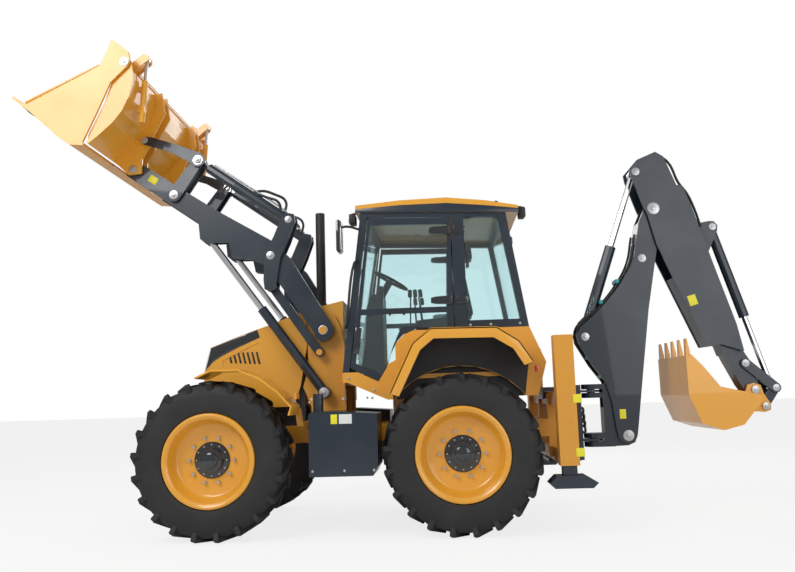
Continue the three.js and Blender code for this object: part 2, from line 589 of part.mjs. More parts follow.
for (const [name, side] of SIDES) {
  const body = join(barrel(CRANK_TOP, LEVER_TOP, side * ARM_Y, TILT, 90),
    pin(CRANK_TOP, 52, ARM_LOW, ARM_HIGH, side));
  addNode(`tilt_barrel_${name}`, 'slate', cut(body, bore(CRANK_TOP, PIN, ARM_LOW, ARM_HIGH, side)));
  const rod = bar(along(LEVER_TOP, CRANK_TOP, TILT.tail + 300), LEVER_TOP, side * ARM_Y, TILT.rod);
  const eye = pin(LEVER_TOP, 48, ARM_Y - 17, ARM_Y + 17, side);
  const cheeks = [[0, ARM_Y - 17], [ARM_Y + 17, ARM_Y + 100]].map(([y0, y1]) => pin(LEVER_TOP, 60, y0,
      y1, side));
  addNode(`tilt_rod_${name}`, 'steel', cut(join(rod, eye), ...cheeks));
}

/** Four lever plates on one shaft that runs through both arms. */
function tippingLevers() {
  const outline = linkOutline(LEVER_PIVOT, LEVER_TOP, 66, 50);
  const halves = SIDES.map(([, side]) => join(
    plate(outline, PLATE_INNER_LOW, PLATE_INNER_HIGH, side),
    plate(outline, PLATE_OUTER_LOW, PLATE_OUTER_HIGH, side),
    pin(LEVER_TOP, PIN, ARM_Y + 22, CURVED_HIGH + 4, side)));
  const shaft = pin(LEVER_PIVOT, BIG_PIN, -PLATE_OUTER_HIGH - 3, PLATE_OUTER_HIGH + 3);
  return cut(join(...halves, shaft), bore(LEVER_TOP, PIN, -PLATE_INNER_HIGH, PLATE_INNER_HIGH));
}

const CURVED_LOW = PLATE_OUTER_HIGH + 5;
const CURVED_HIGH = CURVED_LOW + 20;
const SLEEVE_HALF = 380;

addNode('tipping_levers', 'slate', tippingLevers());
addNode('lever_sleeve', 'slate', cut(pin(LEVER_PIVOT, 58, -SLEEVE_HALF, SLEEVE_HALF),
  bore(LEVER_PIVOT, BIG_PIN, -SLEEVE_HALF, SLEEVE_HALF)));
for (const [name, side] of SIDES) {
  addNode(`lever_top_bush_${name}`, 'steel', cut(pin(LEVER_TOP, 46, CURVED_LOW, CURVED_HIGH, side),
    bore(LEVER_TOP, PIN, CURVED_LOW, CURVED_HIGH, side)));
}

/** A curved link hangs outside the lever plates, from the lever's top pin to the bucket's upper pin. */
for (const [name, side] of SIDES) {
  const outline = [[2362, 3500], [2378, 3545], [2415, 3570], [2638, 3658], [2869, 3740], [2952, 3756],
      [2990, 3718],
    [2970, 3683], [2884, 3652], [2700, 3590], [2500, 3470], [2468, 3437], [2425, 3428], [2380, 3450]];
  addNode(`curved_link_${name}`, 'slate', cut(join(plate(outline, CURVED_LOW, CURVED_HIGH, side),
    pin(BUCKET_LINK_PIN, 30, PLATE_OUTER_HIGH + SEAT_GAP, CURVED_HIGH + 6, side)),
  bore(LEVER_TOP, 46, CURVED_LOW, CURVED_HIGH, side)));
}

addNode('bucket_hinge_shaft', 'steel', pin(BUCKET_PIVOT, BIG_PIN, -PLATE_OUTER_HIGH - 3,
    PLATE_OUTER_HIGH + 3));

const BACK_HALF = BUCKET_HALF - BUCKET_PLATE - LAYER_GAP;           // outside of the back's side plates

const CLAM_RAM = { barrel: 405, radius: 28, rod: 16 };

function bucketBack() {
  const skin = [[2866, 4190], [2866, 4100], [2898, 3950], [2964, 3812], [3050, 3705], [3180, 3590],
      [3270, 3522]];
  const shell = plate(stripOutline([...skin].reverse(), 22), -BACK_HALF, BACK_HALF);
  const cheek = [[2866, 4190], [2884, 4290], [2934, 4326], [2990, 4290], [3040, 4150], [3120, 3900],
      [3265, 3600],
    [3270, 3522], [3180, 3590], [3050, 3705], [2964, 3812], [2898, 3950]];
  const cheeks = SIDES.map(([, side]) => plate(cheek, BACK_HALF - BUCKET_PLATE, BACK_HALF, side));
  const bracket = [[2992, 3395], [3118, 3385], [3215, 3480], [3275, 3530], [3190, 3600], [3060, 3708],
    [2972, 3818], [2904, 3955], [2876, 4110], [2876, 4185], [2800, 4200], [2765, 3982], [2835, 3850],
        [2890, 3740],
    [2915, 3660], [2985, 3540]];
  const brackets = SIDES.flatMap(([, side]) => [
    plate(bracket, PLATE_INNER_LOW, PLATE_INNER_HIGH, side),
    plate(bracket, PLATE_OUTER_LOW, PLATE_OUTER_HIGH, side)]);
  const cylinders = SIDES.map(([, side]) => join(
    barrel(CLAM_BASE, CLAM_EYE, side * CLAM_CYLINDER_Y, CLAM_RAM, 30),
    box(2814, 2900, CLAM_CYLINDER_Y - 20, CLAM_CYLINDER_Y + 20, 3860, 3930, side),
    box(2805, 2900, CLAM_CYLINDER_Y - 20, CLAM_CYLINDER_Y + 20, 4060, 4110, side)));
  return cut(join(shell, ...cheeks, ...brackets, ...cylinders),
    ...SIDES.map(([, side]) => bore(CLAM_PIVOT, 30, BACK_HALF - BUCKET_PLATE, BACK_HALF, side)),
    ...SIDES.map(([, side]) => bore(BUCKET_PIVOT, BIG_PIN, PLATE_INNER_LOW, PLATE_OUTER_HIGH, side)),
    ...SIDES.map(([, side]) => bar(along(CLAM_BASE, CLAM_EYE, 30), along(CLAM_BASE, CLAM_EYE, 420),
      side * CLAM_CYLINDER_Y, CLAM_RAM.rod + ROD_GAP)));
}

addNode('loader_bucket_back', 'yellow', bucketBack());

function bucketClam() {
  const cheek = [[2884, 4300], [2898, 4365], [3050, 4495], [3157, 4248], [3840, 3920], [3900, 3915],
      [3804, 3840],
    [3750, 3799], [3520, 3578], [3421, 3514], [3330, 3505], [3300, 3540], [3180, 3800], [3060, 4080],
        [2900, 4235]];
  const floor = [[3974, 3974], [3804, 3840], [3520, 3578], [3421, 3510], [3300, 3500]];
  const cheeks = SIDES.map(([, side]) => plate(cheek, BUCKET_HALF - BUCKET_PLATE, BUCKET_HALF, side));
  const tube = pin(CLAM_PIVOT, 30, -BUCKET_HALF, BUCKET_HALF);
  const lug = [[2770, 4390], [2800, 4408], [2835, 4400], [2965, 4300], [2965, 4250], [2900, 4245],
      [2775, 4350]];
  const lugs = SIDES.flatMap(([, side]) => [-58, 36].map((offset) =>
    plate(lug, CLAM_CYLINDER_Y + offset, CLAM_CYLINDER_Y + offset + 22, side)));
  return join(...cheeks, plate(stripOutline(floor, 24), -BUCKET_HALF, BUCKET_HALF), tube, ...lugs);
}

addNode('loader_bucket_clam', 'yellow', bucketClam());

for (const [name, side] of SIDES) {
  const y = side * CLAM_CYLINDER_Y;
  addNode(`clam_rod_${name}`, 'steel', join(bar(along(CLAM_EYE, CLAM_BASE, 350), CLAM_EYE, y, CLAM_RAM.rod),
    pin(CLAM_EYE, 30, CLAM_CYLINDER_Y - 18, CLAM_CYLINDER_Y + 18, side),
    pin(CLAM_EYE, 16, CLAM_CYLINDER_Y - 35.5, CLAM_CYLINDER_Y + 35.5, side)));
}

// ---------------------------------------------------------------- backhoe
const CARRIAGE_HALF = 250;
const LUG = { low: 696, high: 718, upperLow: 1160, upperHigh: 1182, radius: 85, pin: 40 };

function carriage() {
  const face = box(-1150, -1118, -CARRIAGE_HALF, CARRIAGE_HALF, 535, 1232);
  const gap = LAYER_GAP;
  const { rear, front, upperHigh, lowerLow } = BEAM;
  const topHook = join(box(-1120, rear - gap, -CARRIAGE_HALF, CARRIAGE_HALF, 1050, upperHigh + 40),
    box(rear - gap - 1, front + 40, -CARRIAGE_HALF, CARRIAGE_HALF, upperHigh + SEAT_GAP, upperHigh + 40),
    box(front + 20 + gap, front + 46, -CARRIAGE_HALF, CARRIAGE_HALF, upperHigh - 70, upperHigh + 40));
  const lowHook = join(box(-1120, rear - gap, -CARRIAGE_HALF, CARRIAGE_HALF, lowerLow - 30, 700),
    box(rear - gap - 1, front + 20, -CARRIAGE_HALF, CARRIAGE_HALF, lowerLow - 30, lowerLow - gap));
  const lugOutline = [[-1140, -LUG.radius], [-1140, LUG.radius]];
  for (let i = 0; i <= 10; i += 1) {
    const angle = Math.PI / 2 + (Math.PI * i) / 10;
    lugOutline.push([KING_PIN_X + LUG.radius * Math.cos(angle), LUG.radius * Math.sin(angle)]);
  }
  const lugs = [[LUG.low, LUG.high], [LUG.upperLow, LUG.upperHigh]].map(([low, high]) =>
    cut(deck(lugOutline, low, high), post(KING_PIN_X, 0, holeRadius(LUG.pin), low - 1, high + 1)));
  return join(face, topHook, lowHook, ...lugs);
}

addNode('carriage', 'slate', carriage());

const FOOT_HALF = BOOM_INNER_Y - LAYER_GAP;

function swingPost() {
  const forkOutline = [[-1480, -FOOT_HALF], [-1480, FOOT_HALF], [KING_PIN_X - 20, FOOT_HALF]];
  for (let i = 1; i < 10; i += 1) {
    const angle = Math.PI / 2 - (Math.PI * i) / 10;
    forkOutline.push([KING_PIN_X + 92 * Math.cos(angle), FOOT_HALF * Math.sin(angle)]);
  }
  forkOutline.push([KING_PIN_X - 20, -FOOT_HALF]);
  const forks = [[640, LUG.low - LAYER_GAP], [LUG.high + LAYER_GAP, 770], [1105, LUG.upperLow - LAYER_GAP],
    [LUG.upperHigh + LAYER_GAP, 1236]].map(([low, high]) => deck(forkOutline, low, high));
  const kingPins = [[640, 770], [1105, 1236]].map(([low, high]) => post(KING_PIN_X, 0, LUG.pin, low, high));
  const column = plate([[-1388, 640], [-1600, 648], [-1665, 675], [-1694, 741], [-1665, 810], [-1590, 850],
    [-1520, 1000], [-1508, 1130], [-1490, 1190], [-1450, 1200], [-1388, 1236]], -FOOT_HALF, FOOT_HALF);
  const slot = box(-1720, -1382, -66, 66, 1010, 1300);
  const cylinderPin = pin(BOOM_CYLINDER_BASE, PIN, -FOOT_HALF, FOOT_HALF);
  return join(cut(join(column, ...forks), slot,
    pin(BOOM_FOOT, holeRadius(BIG_PIN), -FOOT_HALF - 1, FOOT_HALF + 1)), ...kingPins, cylinderPin);
}

addNode('swing_post', 'slate', swingPost());

const BOOM_OUTER = BOOM_INNER_Y + HOE_PLATE;
const DIPPER_INNER = BOOM_OUTER + LAYER_GAP + 1;
const DIPPER_OUTER = DIPPER_INNER + HOE_PLATE;
const SLIDE_HALF = 100;           // half the width of the sliding beam

function boom() {
  const outline = [[-1530, 690], [-1508, 723], [-1490, 825], [-1469, 1049], [-1449, 1132], [-1416, 1256],
    [-1302, 1414], [-1177, 1640], [-1165, 1720], [-1218, 1793], [-1426, 1974], [-1597, 2167], [-1729, 2363],
    [-1770, 2450], [-1808, 2643], [-1839, 2804], [-1905, 2945], [-1950, 3002], [-2030, 3002], [-2066, 2940],
    [-2040, 2760], [-1985, 2474], [-1875, 1938], [-1767, 1257], [-1690, 760], [-1660, 690], [-1601, 655]];
  const sides = SIDES.map(([, side]) => plate(outline, BOOM_INNER_Y, BOOM_OUTER, side));
  const rearWebs = [
    [[-1767, 1290], [-1875, 1938], [-1942, 2270], [-1920, 2270], [-1853, 1938], [-1747, 1290]],
    [[-2016, 2640], [-2035, 2740], [-2013, 2740], [-1994, 2640]],
  ].map((web) => plate(web, -BOOM_INNER_Y - 2, BOOM_INNER_Y + 2));
  const topWeb = plate([[-1796, 2600], [-1808, 2643], [-1839, 2804], [-1861, 2804], [-1830, 2643],
    [-1818, 2600]], -BOOM_INNER_Y - 2, BOOM_INNER_Y + 2);
  const pins = [[BOOM_FOOT, BIG_PIN], [DIPPER_CYLINDER_BASE, PIN]].map(([point, radius]) =>
    pin(point, radius, -BOOM_OUTER, BOOM_OUTER));
  const tube = pin(DIPPER_PIVOT, 62, -BOOM_OUTER, BOOM_OUTER);
  return cut(join(...sides, ...rearWebs, topWeb, ...pins, tube),
    pin(DIPPER_PIVOT, holeRadius(BIG_PIN), -BOOM_OUTER - 1, BOOM_OUTER + 1));
}

addNode('boom', 'slate', boom());

const BOOM_RAM = { barrel: 1130, radius: 58, rod: 32 };
const DIPPER_RAM = { barrel: 950, radius: 54, rod: 30 };
const BUCKET_RAM = { barrel: 930, radius: 50, rod: 28 };

/** A ram on the centre plane: its barrel with a bored base, and its rod with an eye and a pin stub. */
function addRam(name, base, eye, size, tail, { eyeHalf, stubHalf, eyeRadius }) {
  const body = join(barrel(base, eye, 0, size, 80), pin(base, size.radius - 3, -size.radius, size.radius));
  addNode(`${name}_barrel`, 'slate', cut(body, pin(base, holeRadius(PIN), -80, 80)));
  const rod = bar(along(eye, base, tail), eye, 0, size.rod);
  addNode(`${name}_rod`, 'steel', join(rod, pin(eye, eyeRadius, -eyeHalf, eyeHalf), pin(eye, 22,
      -stubHalf, stubHalf)));
}

addRam('boom_cylinder', BOOM_CYLINDER_BASE, BOOM_CYLINDER_EYE, BOOM_RAM, 1230,
  { eyeHalf: 45, stubHalf: BOOM_INNER_Y - 0.5, eyeRadius: 50 });
addRam('dipper_cylinder', DIPPER_CYLINDER_BASE, DIPPER_CYLINDER_EYE, DIPPER_RAM, 900,
  { eyeHalf: 45, stubHalf: DIPPER_INNER - 0.5, eyeRadius: 46 });

function dipper() {
  const outline = [[-1790, 3275], [-1780, 3345], [-1858, 3430], [-2044, 3505], [-2119, 3454], [-2225, 3159],
    [-2284, 3146], [-2348, 2959], [-2537, 2286], [-2686, 1768], [-2735, 1506], [-2530, 1575], [-2400, 1560],
    [-1990, 2569], [-1925, 2860], [-1880, 2990]];
  const sides = SIDES.map(([, side]) => plate(outline, DIPPER_INNER, DIPPER_OUTER, side));
  const web = plate([[-2500, 1576], [-2405, 1566], [-2130, 2240], [-2150, 2248], [-2418, 1590],
      [-2500, 1597]],
    -DIPPER_INNER - 2, DIPPER_INNER + 2);
  const cap = plate([[-2044, 3503], [-2117, 3452], [-2190, 3240], [-2170, 3240], [-2100, 3440],
      [-2040, 3480]],
    -DIPPER_INNER - 2, DIPPER_INNER + 2);
  const pads = SIDES.flatMap(([, side]) => [[[-2680, 1640], [-2560, 1640], [-2540, 1720], [-2660, 1720]],
    [[-2440, 2360], [-2330, 2360], [-2310, 2440], [-2420, 2440]]].map((pad) =>
    plate(pad, SLIDE_HALF + PIN_GAP, DIPPER_INNER + 2, side)));
  return join(...sides, web, cap, ...pads, pin(DIPPER_PIVOT, BIG_PIN, -DIPPER_OUTER, DIPPER_OUTER));
}

addNode('dipper', 'slate', dipper());

/** A point on the dipper extension: a distance up its slide and an offset to its rear side. */
function onSlide(up, rearward) {
  const [dx, dz] = SLIDE_DIRECTION;
  return [SLIDE_FOOT[0] - dx * up + dz * rearward, SLIDE_FOOT[1] - dz * up - dx * rearward];
}

const NOSE_HALF = 85;
const HOE_LEVER_LOW = NOSE_HALF + LAYER_GAP;

function dipperExtension() {
  const beam = plate([onSlide(0, -95), onSlide(1340, -95), onSlide(1340, 95), onSlide(0, 95)],
      -SLIDE_HALF, SLIDE_HALF);
  const nose = plate([onSlide(40, -90), onSlide(-60, -80), [-2700, 1180], [-2765, 1085], [-2825, 1078],
      [-2872, 1120],
    [-2868, 1180], [-2800, 1340], [-2800, 1420], onSlide(0, 95), onSlide(40, 90)], -NOSE_HALF, NOSE_HALF);
  const lug = [onSlide(1300, 80), [-2530, 2795], [-2575, 2792], [-2610, 2750], [-2600, 2690],
      onSlide(900, 80)];
  const lugs = SIDES.map(([, side]) => plate(lug, 60, 84, side));
  return join(cut(join(beam, nose, ...lugs),
    pin(LEVER_FOOT, holeRadius(PIN), -SLIDE_HALF - 1, SLIDE_HALF + 1),
    pin(HOE_BUCKET_PIVOT, holeRadius(PIN), -SLIDE_HALF - 1, SLIDE_HALF + 1)),
  pin(HOE_CYLINDER_BASE, PIN, -84, 84));
}

addNode('dipper_extension', 'slate', dipperExtension());

addRam('bucket_cylinder', HOE_CYLINDER_BASE, LEVER_EYE, BUCKET_RAM, 1270,
  { eyeHalf: 27, stubHalf: 28, eyeRadius: 44 });

function hoeLever() {
  const outline = [...linkOutline(LEVER_FOOT, LEVER_EYE, 46)];
  const plates = SIDES.map(([, side]) => join(
    plate(outline, HOE_LEVER_LOW, HOE_LEVER_LOW + 20, side),
    pin(LEVER_EYE, PIN, 33, HOE_LEVER_LOW + 20, side)));
  return join(...plates, pin(LEVER_FOOT, PIN, -HOE_LEVER_LOW - 2, HOE_LEVER_LOW + 2));
}

addNode('hoe_lever', 'slate', hoeLever());

function hoeLink() {
  const arms = SIDES.map(([, side]) => plate(linkOutline(LEVER_EYE, HOE_LINK_PIN, 44, 38), 62,
      NOSE_HALF, side));
  const foot = pin(HOE_LINK_PIN, 36, -NOSE_HALF - 3, NOSE_HALF + 3);
  return cut(join(...arms, foot), pin(LEVER_EYE, holeRadius(PIN), -120, 120));
}

addNode('bucket_link', 'slate', hoeLink());

function hoeBucket() {
  const half = HOE_BUCKET_HALF;
  const skin = [[-2104, 1470], [-2104, 1111], [-2203, 862], [-2379, 803], [-2546, 844], [-2728, 1056],
      [-2723, 1093]];
  const shell = plate(stripOutline([...skin].reverse(), 18), -half, half);
  const cheek = [[-2134, 1480], [-2235, 1365], [-2375, 1177], [-2723, 1093], [-2728, 1056], [-2546, 844],
    [-2379, 803], [-2203, 862], [-2104, 1111], [-2104, 1222], [-2104, 1460]];
  const cheeks = SIDES.map(([, side]) => plate(cheek, half - 20, half, side));
  const lug = [[-2712, 1075], [-2745, 1185], [-2805, 1202], [-2868, 1180], [-2890, 1100], [-2948, 1000],
      [-2945, 945],
    [-2890, 925], [-2760, 940], [-2620, 905], [-2600, 930]];
  const lugs = SIDES.map(([, side]) => plate(lug, HOE_LEVER_LOW, HOE_LEVER_LOW + 25, side));
  const teeth = Array.from({ length: 5 }, (_, i) => {
    const y = (i - 2) * ((half - 45) / 2);
    return plate([[-2126, 1440], [-2130, 1500], [-2108, 1625], [-2098, 1625], [-2092, 1440]], y - 32,
        y + 32);
  });
  return join(shell, ...cheeks, ...lugs, ...teeth,
    pin(HOE_BUCKET_PIVOT, PIN, -HOE_LEVER_LOW - 2, HOE_LEVER_LOW + 2));
}

addNode('hoe_bucket', 'yellow', hoeBucket());

for (const [name, side] of SIDES) {
  const { rear, front, wall, play } = STABILIZER;
  const room = wall + play;
  const inner = SHIFT_FRAME_HALF;
  addNode(`stabilizer_leg_${name}`, 'slate', join(
    box(rear + room, front - room, inner + room, inner + STABILIZER_WIDTH - room, 480, 1560, side),
    plate([[-1095, 430], [-1050, 388], [-740, 388], [-697, 430], [-760, 489], [-1000, 489]],
      inner - 20, inner + STABILIZER_WIDTH + 30, side)));
}

// ---------------------------------------------------------------- shared frame
// The origin moves to the middle of the machine's box at ground level.
machine.updateMatrixWorld(true);
const bounds = new THREE.Box3().setFromObject(machine, true);
machine.position.x = -(bounds.min.x + bounds.max.x) / 2;

export default machine;
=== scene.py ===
# %% [markdown]
# # A backhoe loader, finished in Blender
# The machine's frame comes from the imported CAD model: every plate, ram and pivot is already the right size and
# in the right place. These cells add what a CAD frame leaves plain: paint, treaded tyres, glass, padding, pipes,
# lamps and pin heads. Everything is in metres, X to the front, Y to the machine's left, Z up from the ground.

import math

import bmesh
import bpy
from mathutils import Matrix, Vector


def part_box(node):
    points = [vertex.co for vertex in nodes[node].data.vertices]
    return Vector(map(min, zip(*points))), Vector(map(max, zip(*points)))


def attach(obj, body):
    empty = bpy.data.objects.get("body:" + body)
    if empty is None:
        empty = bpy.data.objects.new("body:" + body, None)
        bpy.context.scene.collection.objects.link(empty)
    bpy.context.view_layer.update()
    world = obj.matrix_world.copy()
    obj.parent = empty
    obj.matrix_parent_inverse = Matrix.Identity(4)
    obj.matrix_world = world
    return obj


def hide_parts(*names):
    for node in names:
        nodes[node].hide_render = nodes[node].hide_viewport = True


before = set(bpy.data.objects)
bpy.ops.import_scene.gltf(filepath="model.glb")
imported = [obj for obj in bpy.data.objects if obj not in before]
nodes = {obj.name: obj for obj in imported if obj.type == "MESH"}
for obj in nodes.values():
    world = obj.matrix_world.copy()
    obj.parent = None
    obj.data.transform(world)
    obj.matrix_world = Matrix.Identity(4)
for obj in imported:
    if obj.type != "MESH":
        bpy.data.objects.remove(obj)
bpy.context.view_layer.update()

# %% [markdown]
# A machine is drawn from its rear axle, so the cells below give places in millimetres from there. One function
# turns such a place into the frame's metres, and it finds the axle in the middle of a rear wheel.

# %% Places on the machine
wheel_low, wheel_high = (Vector(corner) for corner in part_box("rear_wheel_left"))
AXLE_X = (wheel_low.x + wheel_high.x) / 2
WHEEL_RADIUS = (wheel_high.z - wheel_low.z) / 2
WHEEL_Y = (wheel_low.y + wheel_high.y) / 2
MM = 0.001
SIDES = (("left", 1), ("right", -1))


def place(x, y, z):
    return Vector((AXLE_X + x * MM, y * MM, z * MM))


def across(side, inner, outer):
    """The span between two distances from the centre plane, on the left (1) or the right (-1)."""
    return sorted((side * inner, side * outer))


print("rear axle at", round(AXLE_X, 4), "wheel radius", round(WHEEL_RADIUS, 3))

# %% [markdown]
# Paint on a working machine is never one flat colour. A shader group gives every finish the same three effects,
# each with its own amounts: broad uneven dust, fine specks, and the soft ripple that sprayed paint dries with.
# A group is right here because the same nodes would otherwise be repeated in each material.

# %% The weathering group


def build_weathering():
    group = bpy.data.node_groups.new("Weathering", "ShaderNodeTree")
    sockets = (
        ("Colour", "INPUT", "NodeSocketColor"),
        ("Dust colour", "INPUT", "NodeSocketColor"),
        ("Dust", "INPUT", "NodeSocketFloat"),
        ("Scale", "INPUT", "NodeSocketFloat"),
        ("Smooth", "INPUT", "NodeSocketFloat"),
        ("Rough", "INPUT", "NodeSocketFloat"),
        ("Ripple", "INPUT", "NodeSocketFloat"),
        ("Colour", "OUTPUT", "NodeSocketColor"),
        ("Roughness", "OUTPUT", "NodeSocketFloat"),
        ("Normal", "OUTPUT", "NodeSocketVector"),
    )
    for name, way, kind in sockets:
        group.interface.new_socket(name, in_out=way, socket_type=kind)
    tree, link = group.nodes, group.links.new
    inputs, outputs = tree.new("NodeGroupInput"), tree.new("NodeGroupOutput")
    where = tree.new("ShaderNodeTexCoord").outputs["Object"]

    broad = tree.new("ShaderNodeTexNoise")
    broad.inputs["Detail"].default_value = 6
    link(where, broad.inputs["Vector"])
    link(inputs.outputs["Scale"], broad.inputs["Scale"])
    patches = tree.new("ShaderNodeMapRange")
    patches.inputs["From Min"].default_value = 0.42
    patches.inputs["From Max"].default_value = 0.72
    link(broad.outputs["Fac"], patches.inputs["Value"])
    link(inputs.outputs["Dust"], patches.inputs["To Max"])

    specks = tree.new("ShaderNodeTexNoise")
    specks.inputs["Scale"].default_value = 180
    specks.inputs["Detail"].default_value = 3
    link(where, specks.inputs["Vector"])
    speck_mask = tree.new("ShaderNodeMapRange")
    speck_mask.inputs["From Min"].default_value = 0.6
    speck_mask.inputs["From Max"].default_value = 0.8
    link(specks.outputs["Fac"], speck_mask.inputs["Value"])
    link(inputs.outputs["Dust"], speck_mask.inputs["To Max"])

    soiled = tree.new("ShaderNodeMath")
    soiled.operation = "MAXIMUM"
    link(patches.outputs["Result"], soiled.inputs[0])
    link(speck_mask.outputs["Result"], soiled.inputs[1])
    tint = tree.new("ShaderNodeMix")
    tint.data_type = "RGBA"
    link(soiled.outputs["Value"], tint.inputs["Factor"])
    link(inputs.outputs["Colour"], tint.inputs["A"])
    link(inputs.outputs["Dust colour"], tint.inputs["B"])
    link(tint.outputs["Result"], outputs.inputs["Colour"])

    gloss = tree.new("ShaderNodeMapRange")
    gloss.inputs["From Min"].default_value = 0.3
    gloss.inputs["From Max"].default_value = 0.7
    link(broad.outputs["Fac"], gloss.inputs["Value"])
    link(inputs.outputs["Smooth"], gloss.inputs["To Min"])
    link(inputs.outputs["Rough"], gloss.inputs["To Max"])
    link(gloss.outputs["Result"], outputs.inputs["Roughness"])

    ripple = tree.new("ShaderNodeBump")
    ripple.inputs["Distance"].default_value = 0.001
    link(inputs.outputs["Ripple"], ripple.inputs["Strength"])
    link(specks.outputs["Fac"], ripple.inputs["Height"])
    link(ripple.outputs["Normal"], outputs.inputs["Normal"])
    return group


weathering = build_weathering()
print("sockets", [item.name for item in weathering.interface.items_tree])

# %% [markdown]
# Each finish is one Principled shader fed by the group. The numbers that are the same all over, such as how
# metallic it is, sit on the shader itself. The body is warm yellow enamel, the working arms are a satin blue
# grey, and the rods are hard chrome.

# %% Finishes


def finish(name, colour, dust_colour, dust=0.12, scale=3.0, smooth=0.3, rough=0.45, ripple=0.12, metallic=0.0,
           coat=0.0, transmission=0.0):
    material = bpy.data.materials.new(name)
    material.use_nodes = True
    tree, link = material.node_tree.nodes, material.node_tree.links.new
    shader = tree["Principled BSDF"]
    shader.inputs["Metallic"].default_value = metallic
    shader.inputs["Coat Weight"].default_value = coat
    shader.inputs["Transmission Weight"].default_value = transmission
    soil = tree.new("ShaderNodeGroup")
    soil.node_tree = weathering
    values = (("Colour", (*colour, 1)), ("Dust colour", (*dust_colour, 1)), ("Dust", dust), ("Scale", scale),
              ("Smooth", smooth), ("Rough", rough), ("Ripple", ripple))
    for socket, value in values:
        soil.inputs[socket].default_value = value
    link(soil.outputs["Colour"], shader.inputs["Base Color"])
    link(soil.outputs["Roughness"], shader.inputs["Roughness"])
    link(soil.outputs["Normal"], shader.inputs["Normal"])
    material.diffuse_color = (*colour, 1)
    return material


body_yellow = finish("body_yellow", (0.84, 0.39, 0.035), (0.62, 0.28, 0.04), coat=0.5, smooth=0.26, rough=0.38)
tower_orange = finish("tower_orange", (0.74, 0.33, 0.03), (0.5, 0.24, 0.05), dust=0.2, coat=0.3)
arm_slate = finish("arm_slate", (0.011, 0.021, 0.035), (0.035, 0.047, 0.06), dust=0.25, coat=0.35, smooth=0.28)
hard_chrome = finish("hard_chrome", (0.78, 0.79, 0.80), (0.5, 0.5, 0.5), dust=0.1, smooth=0.12, rough=0.26,
                     ripple=0.03, metallic=1.0)
cut_steel = finish("cut_steel", (0.55, 0.56, 0.57), (0.3, 0.28, 0.26), dust=0.4, scale=9, metallic=0.9)
black_moulding = finish("black_moulding", (0.016, 0.017, 0.019), (0.05, 0.05, 0.05), dust=0.3, smooth=0.42,
                        rough=0.62, ripple=0.4)
tyre_rubber = finish("tyre_rubber", (0.014, 0.014, 0.015), (0.045, 0.043, 0.04), dust=0.5, scale=5, smooth=0.55,
                     rough=0.8, ripple=0.5)
hose_rubber = finish("hose_rubber", (0.012, 0.013, 0.015), (0.04, 0.04, 0.04), smooth=0.35, rough=0.5)
seat_vinyl = finish("seat_vinyl", (0.022, 0.024, 0.028), (0.05, 0.05, 0.055), dust=0.3, smooth=0.45, rough=0.6,
                    ripple=0.7)
tinted_glass = finish("tinted_glass", (0.74, 0.90, 0.91), (0.70, 0.86, 0.87), dust=0.06, smooth=0.02, rough=0.05,
                      ripple=0.0, transmission=1.0)
mirror_glass = finish("mirror_glass", (0.85, 0.88, 0.9), (0.8, 0.82, 0.84), smooth=0.03, rough=0.06, ripple=0.0,
                      metallic=1.0)
gloss_black = finish("gloss_black", (0.012, 0.014, 0.018), (0.03, 0.035, 0.04), dust=0.1, smooth=0.08, rough=0.16,
                     ripple=0.02, coat=1.0)
lamp_clear = finish("lamp_clear", (0.86, 0.88, 0.9), (0.7, 0.72, 0.74), smooth=0.06, rough=0.12, coat=1.0)
lamp_amber = finish("lamp_amber", (0.85, 0.28, 0.02), (0.6, 0.2, 0.02), smooth=0.08, rough=0.15, coat=1.0)
lamp_red = finish("lamp_red", (0.55, 0.02, 0.015), (0.4, 0.02, 0.01), smooth=0.08, rough=0.15, coat=1.0)
label_yellow = finish("label_yellow", (0.86, 0.78, 0.03), (0.7, 0.62, 0.06), dust=0.1)
label_pale = finish("label_pale", (0.78, 0.80, 0.80), (0.6, 0.6, 0.58), dust=0.1)
tie_teal = finish("tie_teal", (0.03, 0.36, 0.38), (0.05, 0.25, 0.27))
print("finishes", len(bpy.data.materials))

# %% [markdown]
# The CAD nodes whose shape is right stay, and only change their finish. A short list says which are not slate.

# %% Paint the CAD nodes
PAINTED = {
    body_yellow: ("rear_cowl", "hood", "front_fenders", "cab_lower", "cab_roof", "loader_bucket_back",
                  "loader_bucket_clam", "hoe_bucket"),
    tower_orange: ("main_frame",),
    black_moulding: ("engine_block", "console"),
    hard_chrome: ("lift_rod_left", "lift_rod_right", "tilt_rod_left", "tilt_rod_right", "clam_rod_left",
                  "clam_rod_right", "boom_cylinder_rod", "dipper_cylinder_rod", "bucket_cylinder_rod",
                  "bucket_hinge_shaft", "lever_top_bush_left", "lever_top_bush_right"),
}
paint_of = {name: material for material, names in PAINTED.items() for name in names}
for name, node in nodes.items():
    for slot in node.material_slots:
        slot.material = paint_of.get(name, arm_slate)
print("repainted", len(nodes), "nodes")

# %% [markdown]
# New pieces are made with a few small helpers: a block, a plate cut to an outline, a round boss and a turned
# shape. The block, the plate and the boss bevel their own edges, because a real edge always catches a thin line of
# light.

# %% Helpers for new pieces


def soften(bm, faces, width, segments=2):
    edges = [edge for edge in {e for f in faces for e in f.edges} if edge.calc_face_angle(0) > 0.6]
    if width and edges:
        bmesh.ops.bevel(bm, geom=edges, offset=width * MM, segments=segments, profile=0.5, affect="EDGES",
                        material=-1, clamp_overlap=True)


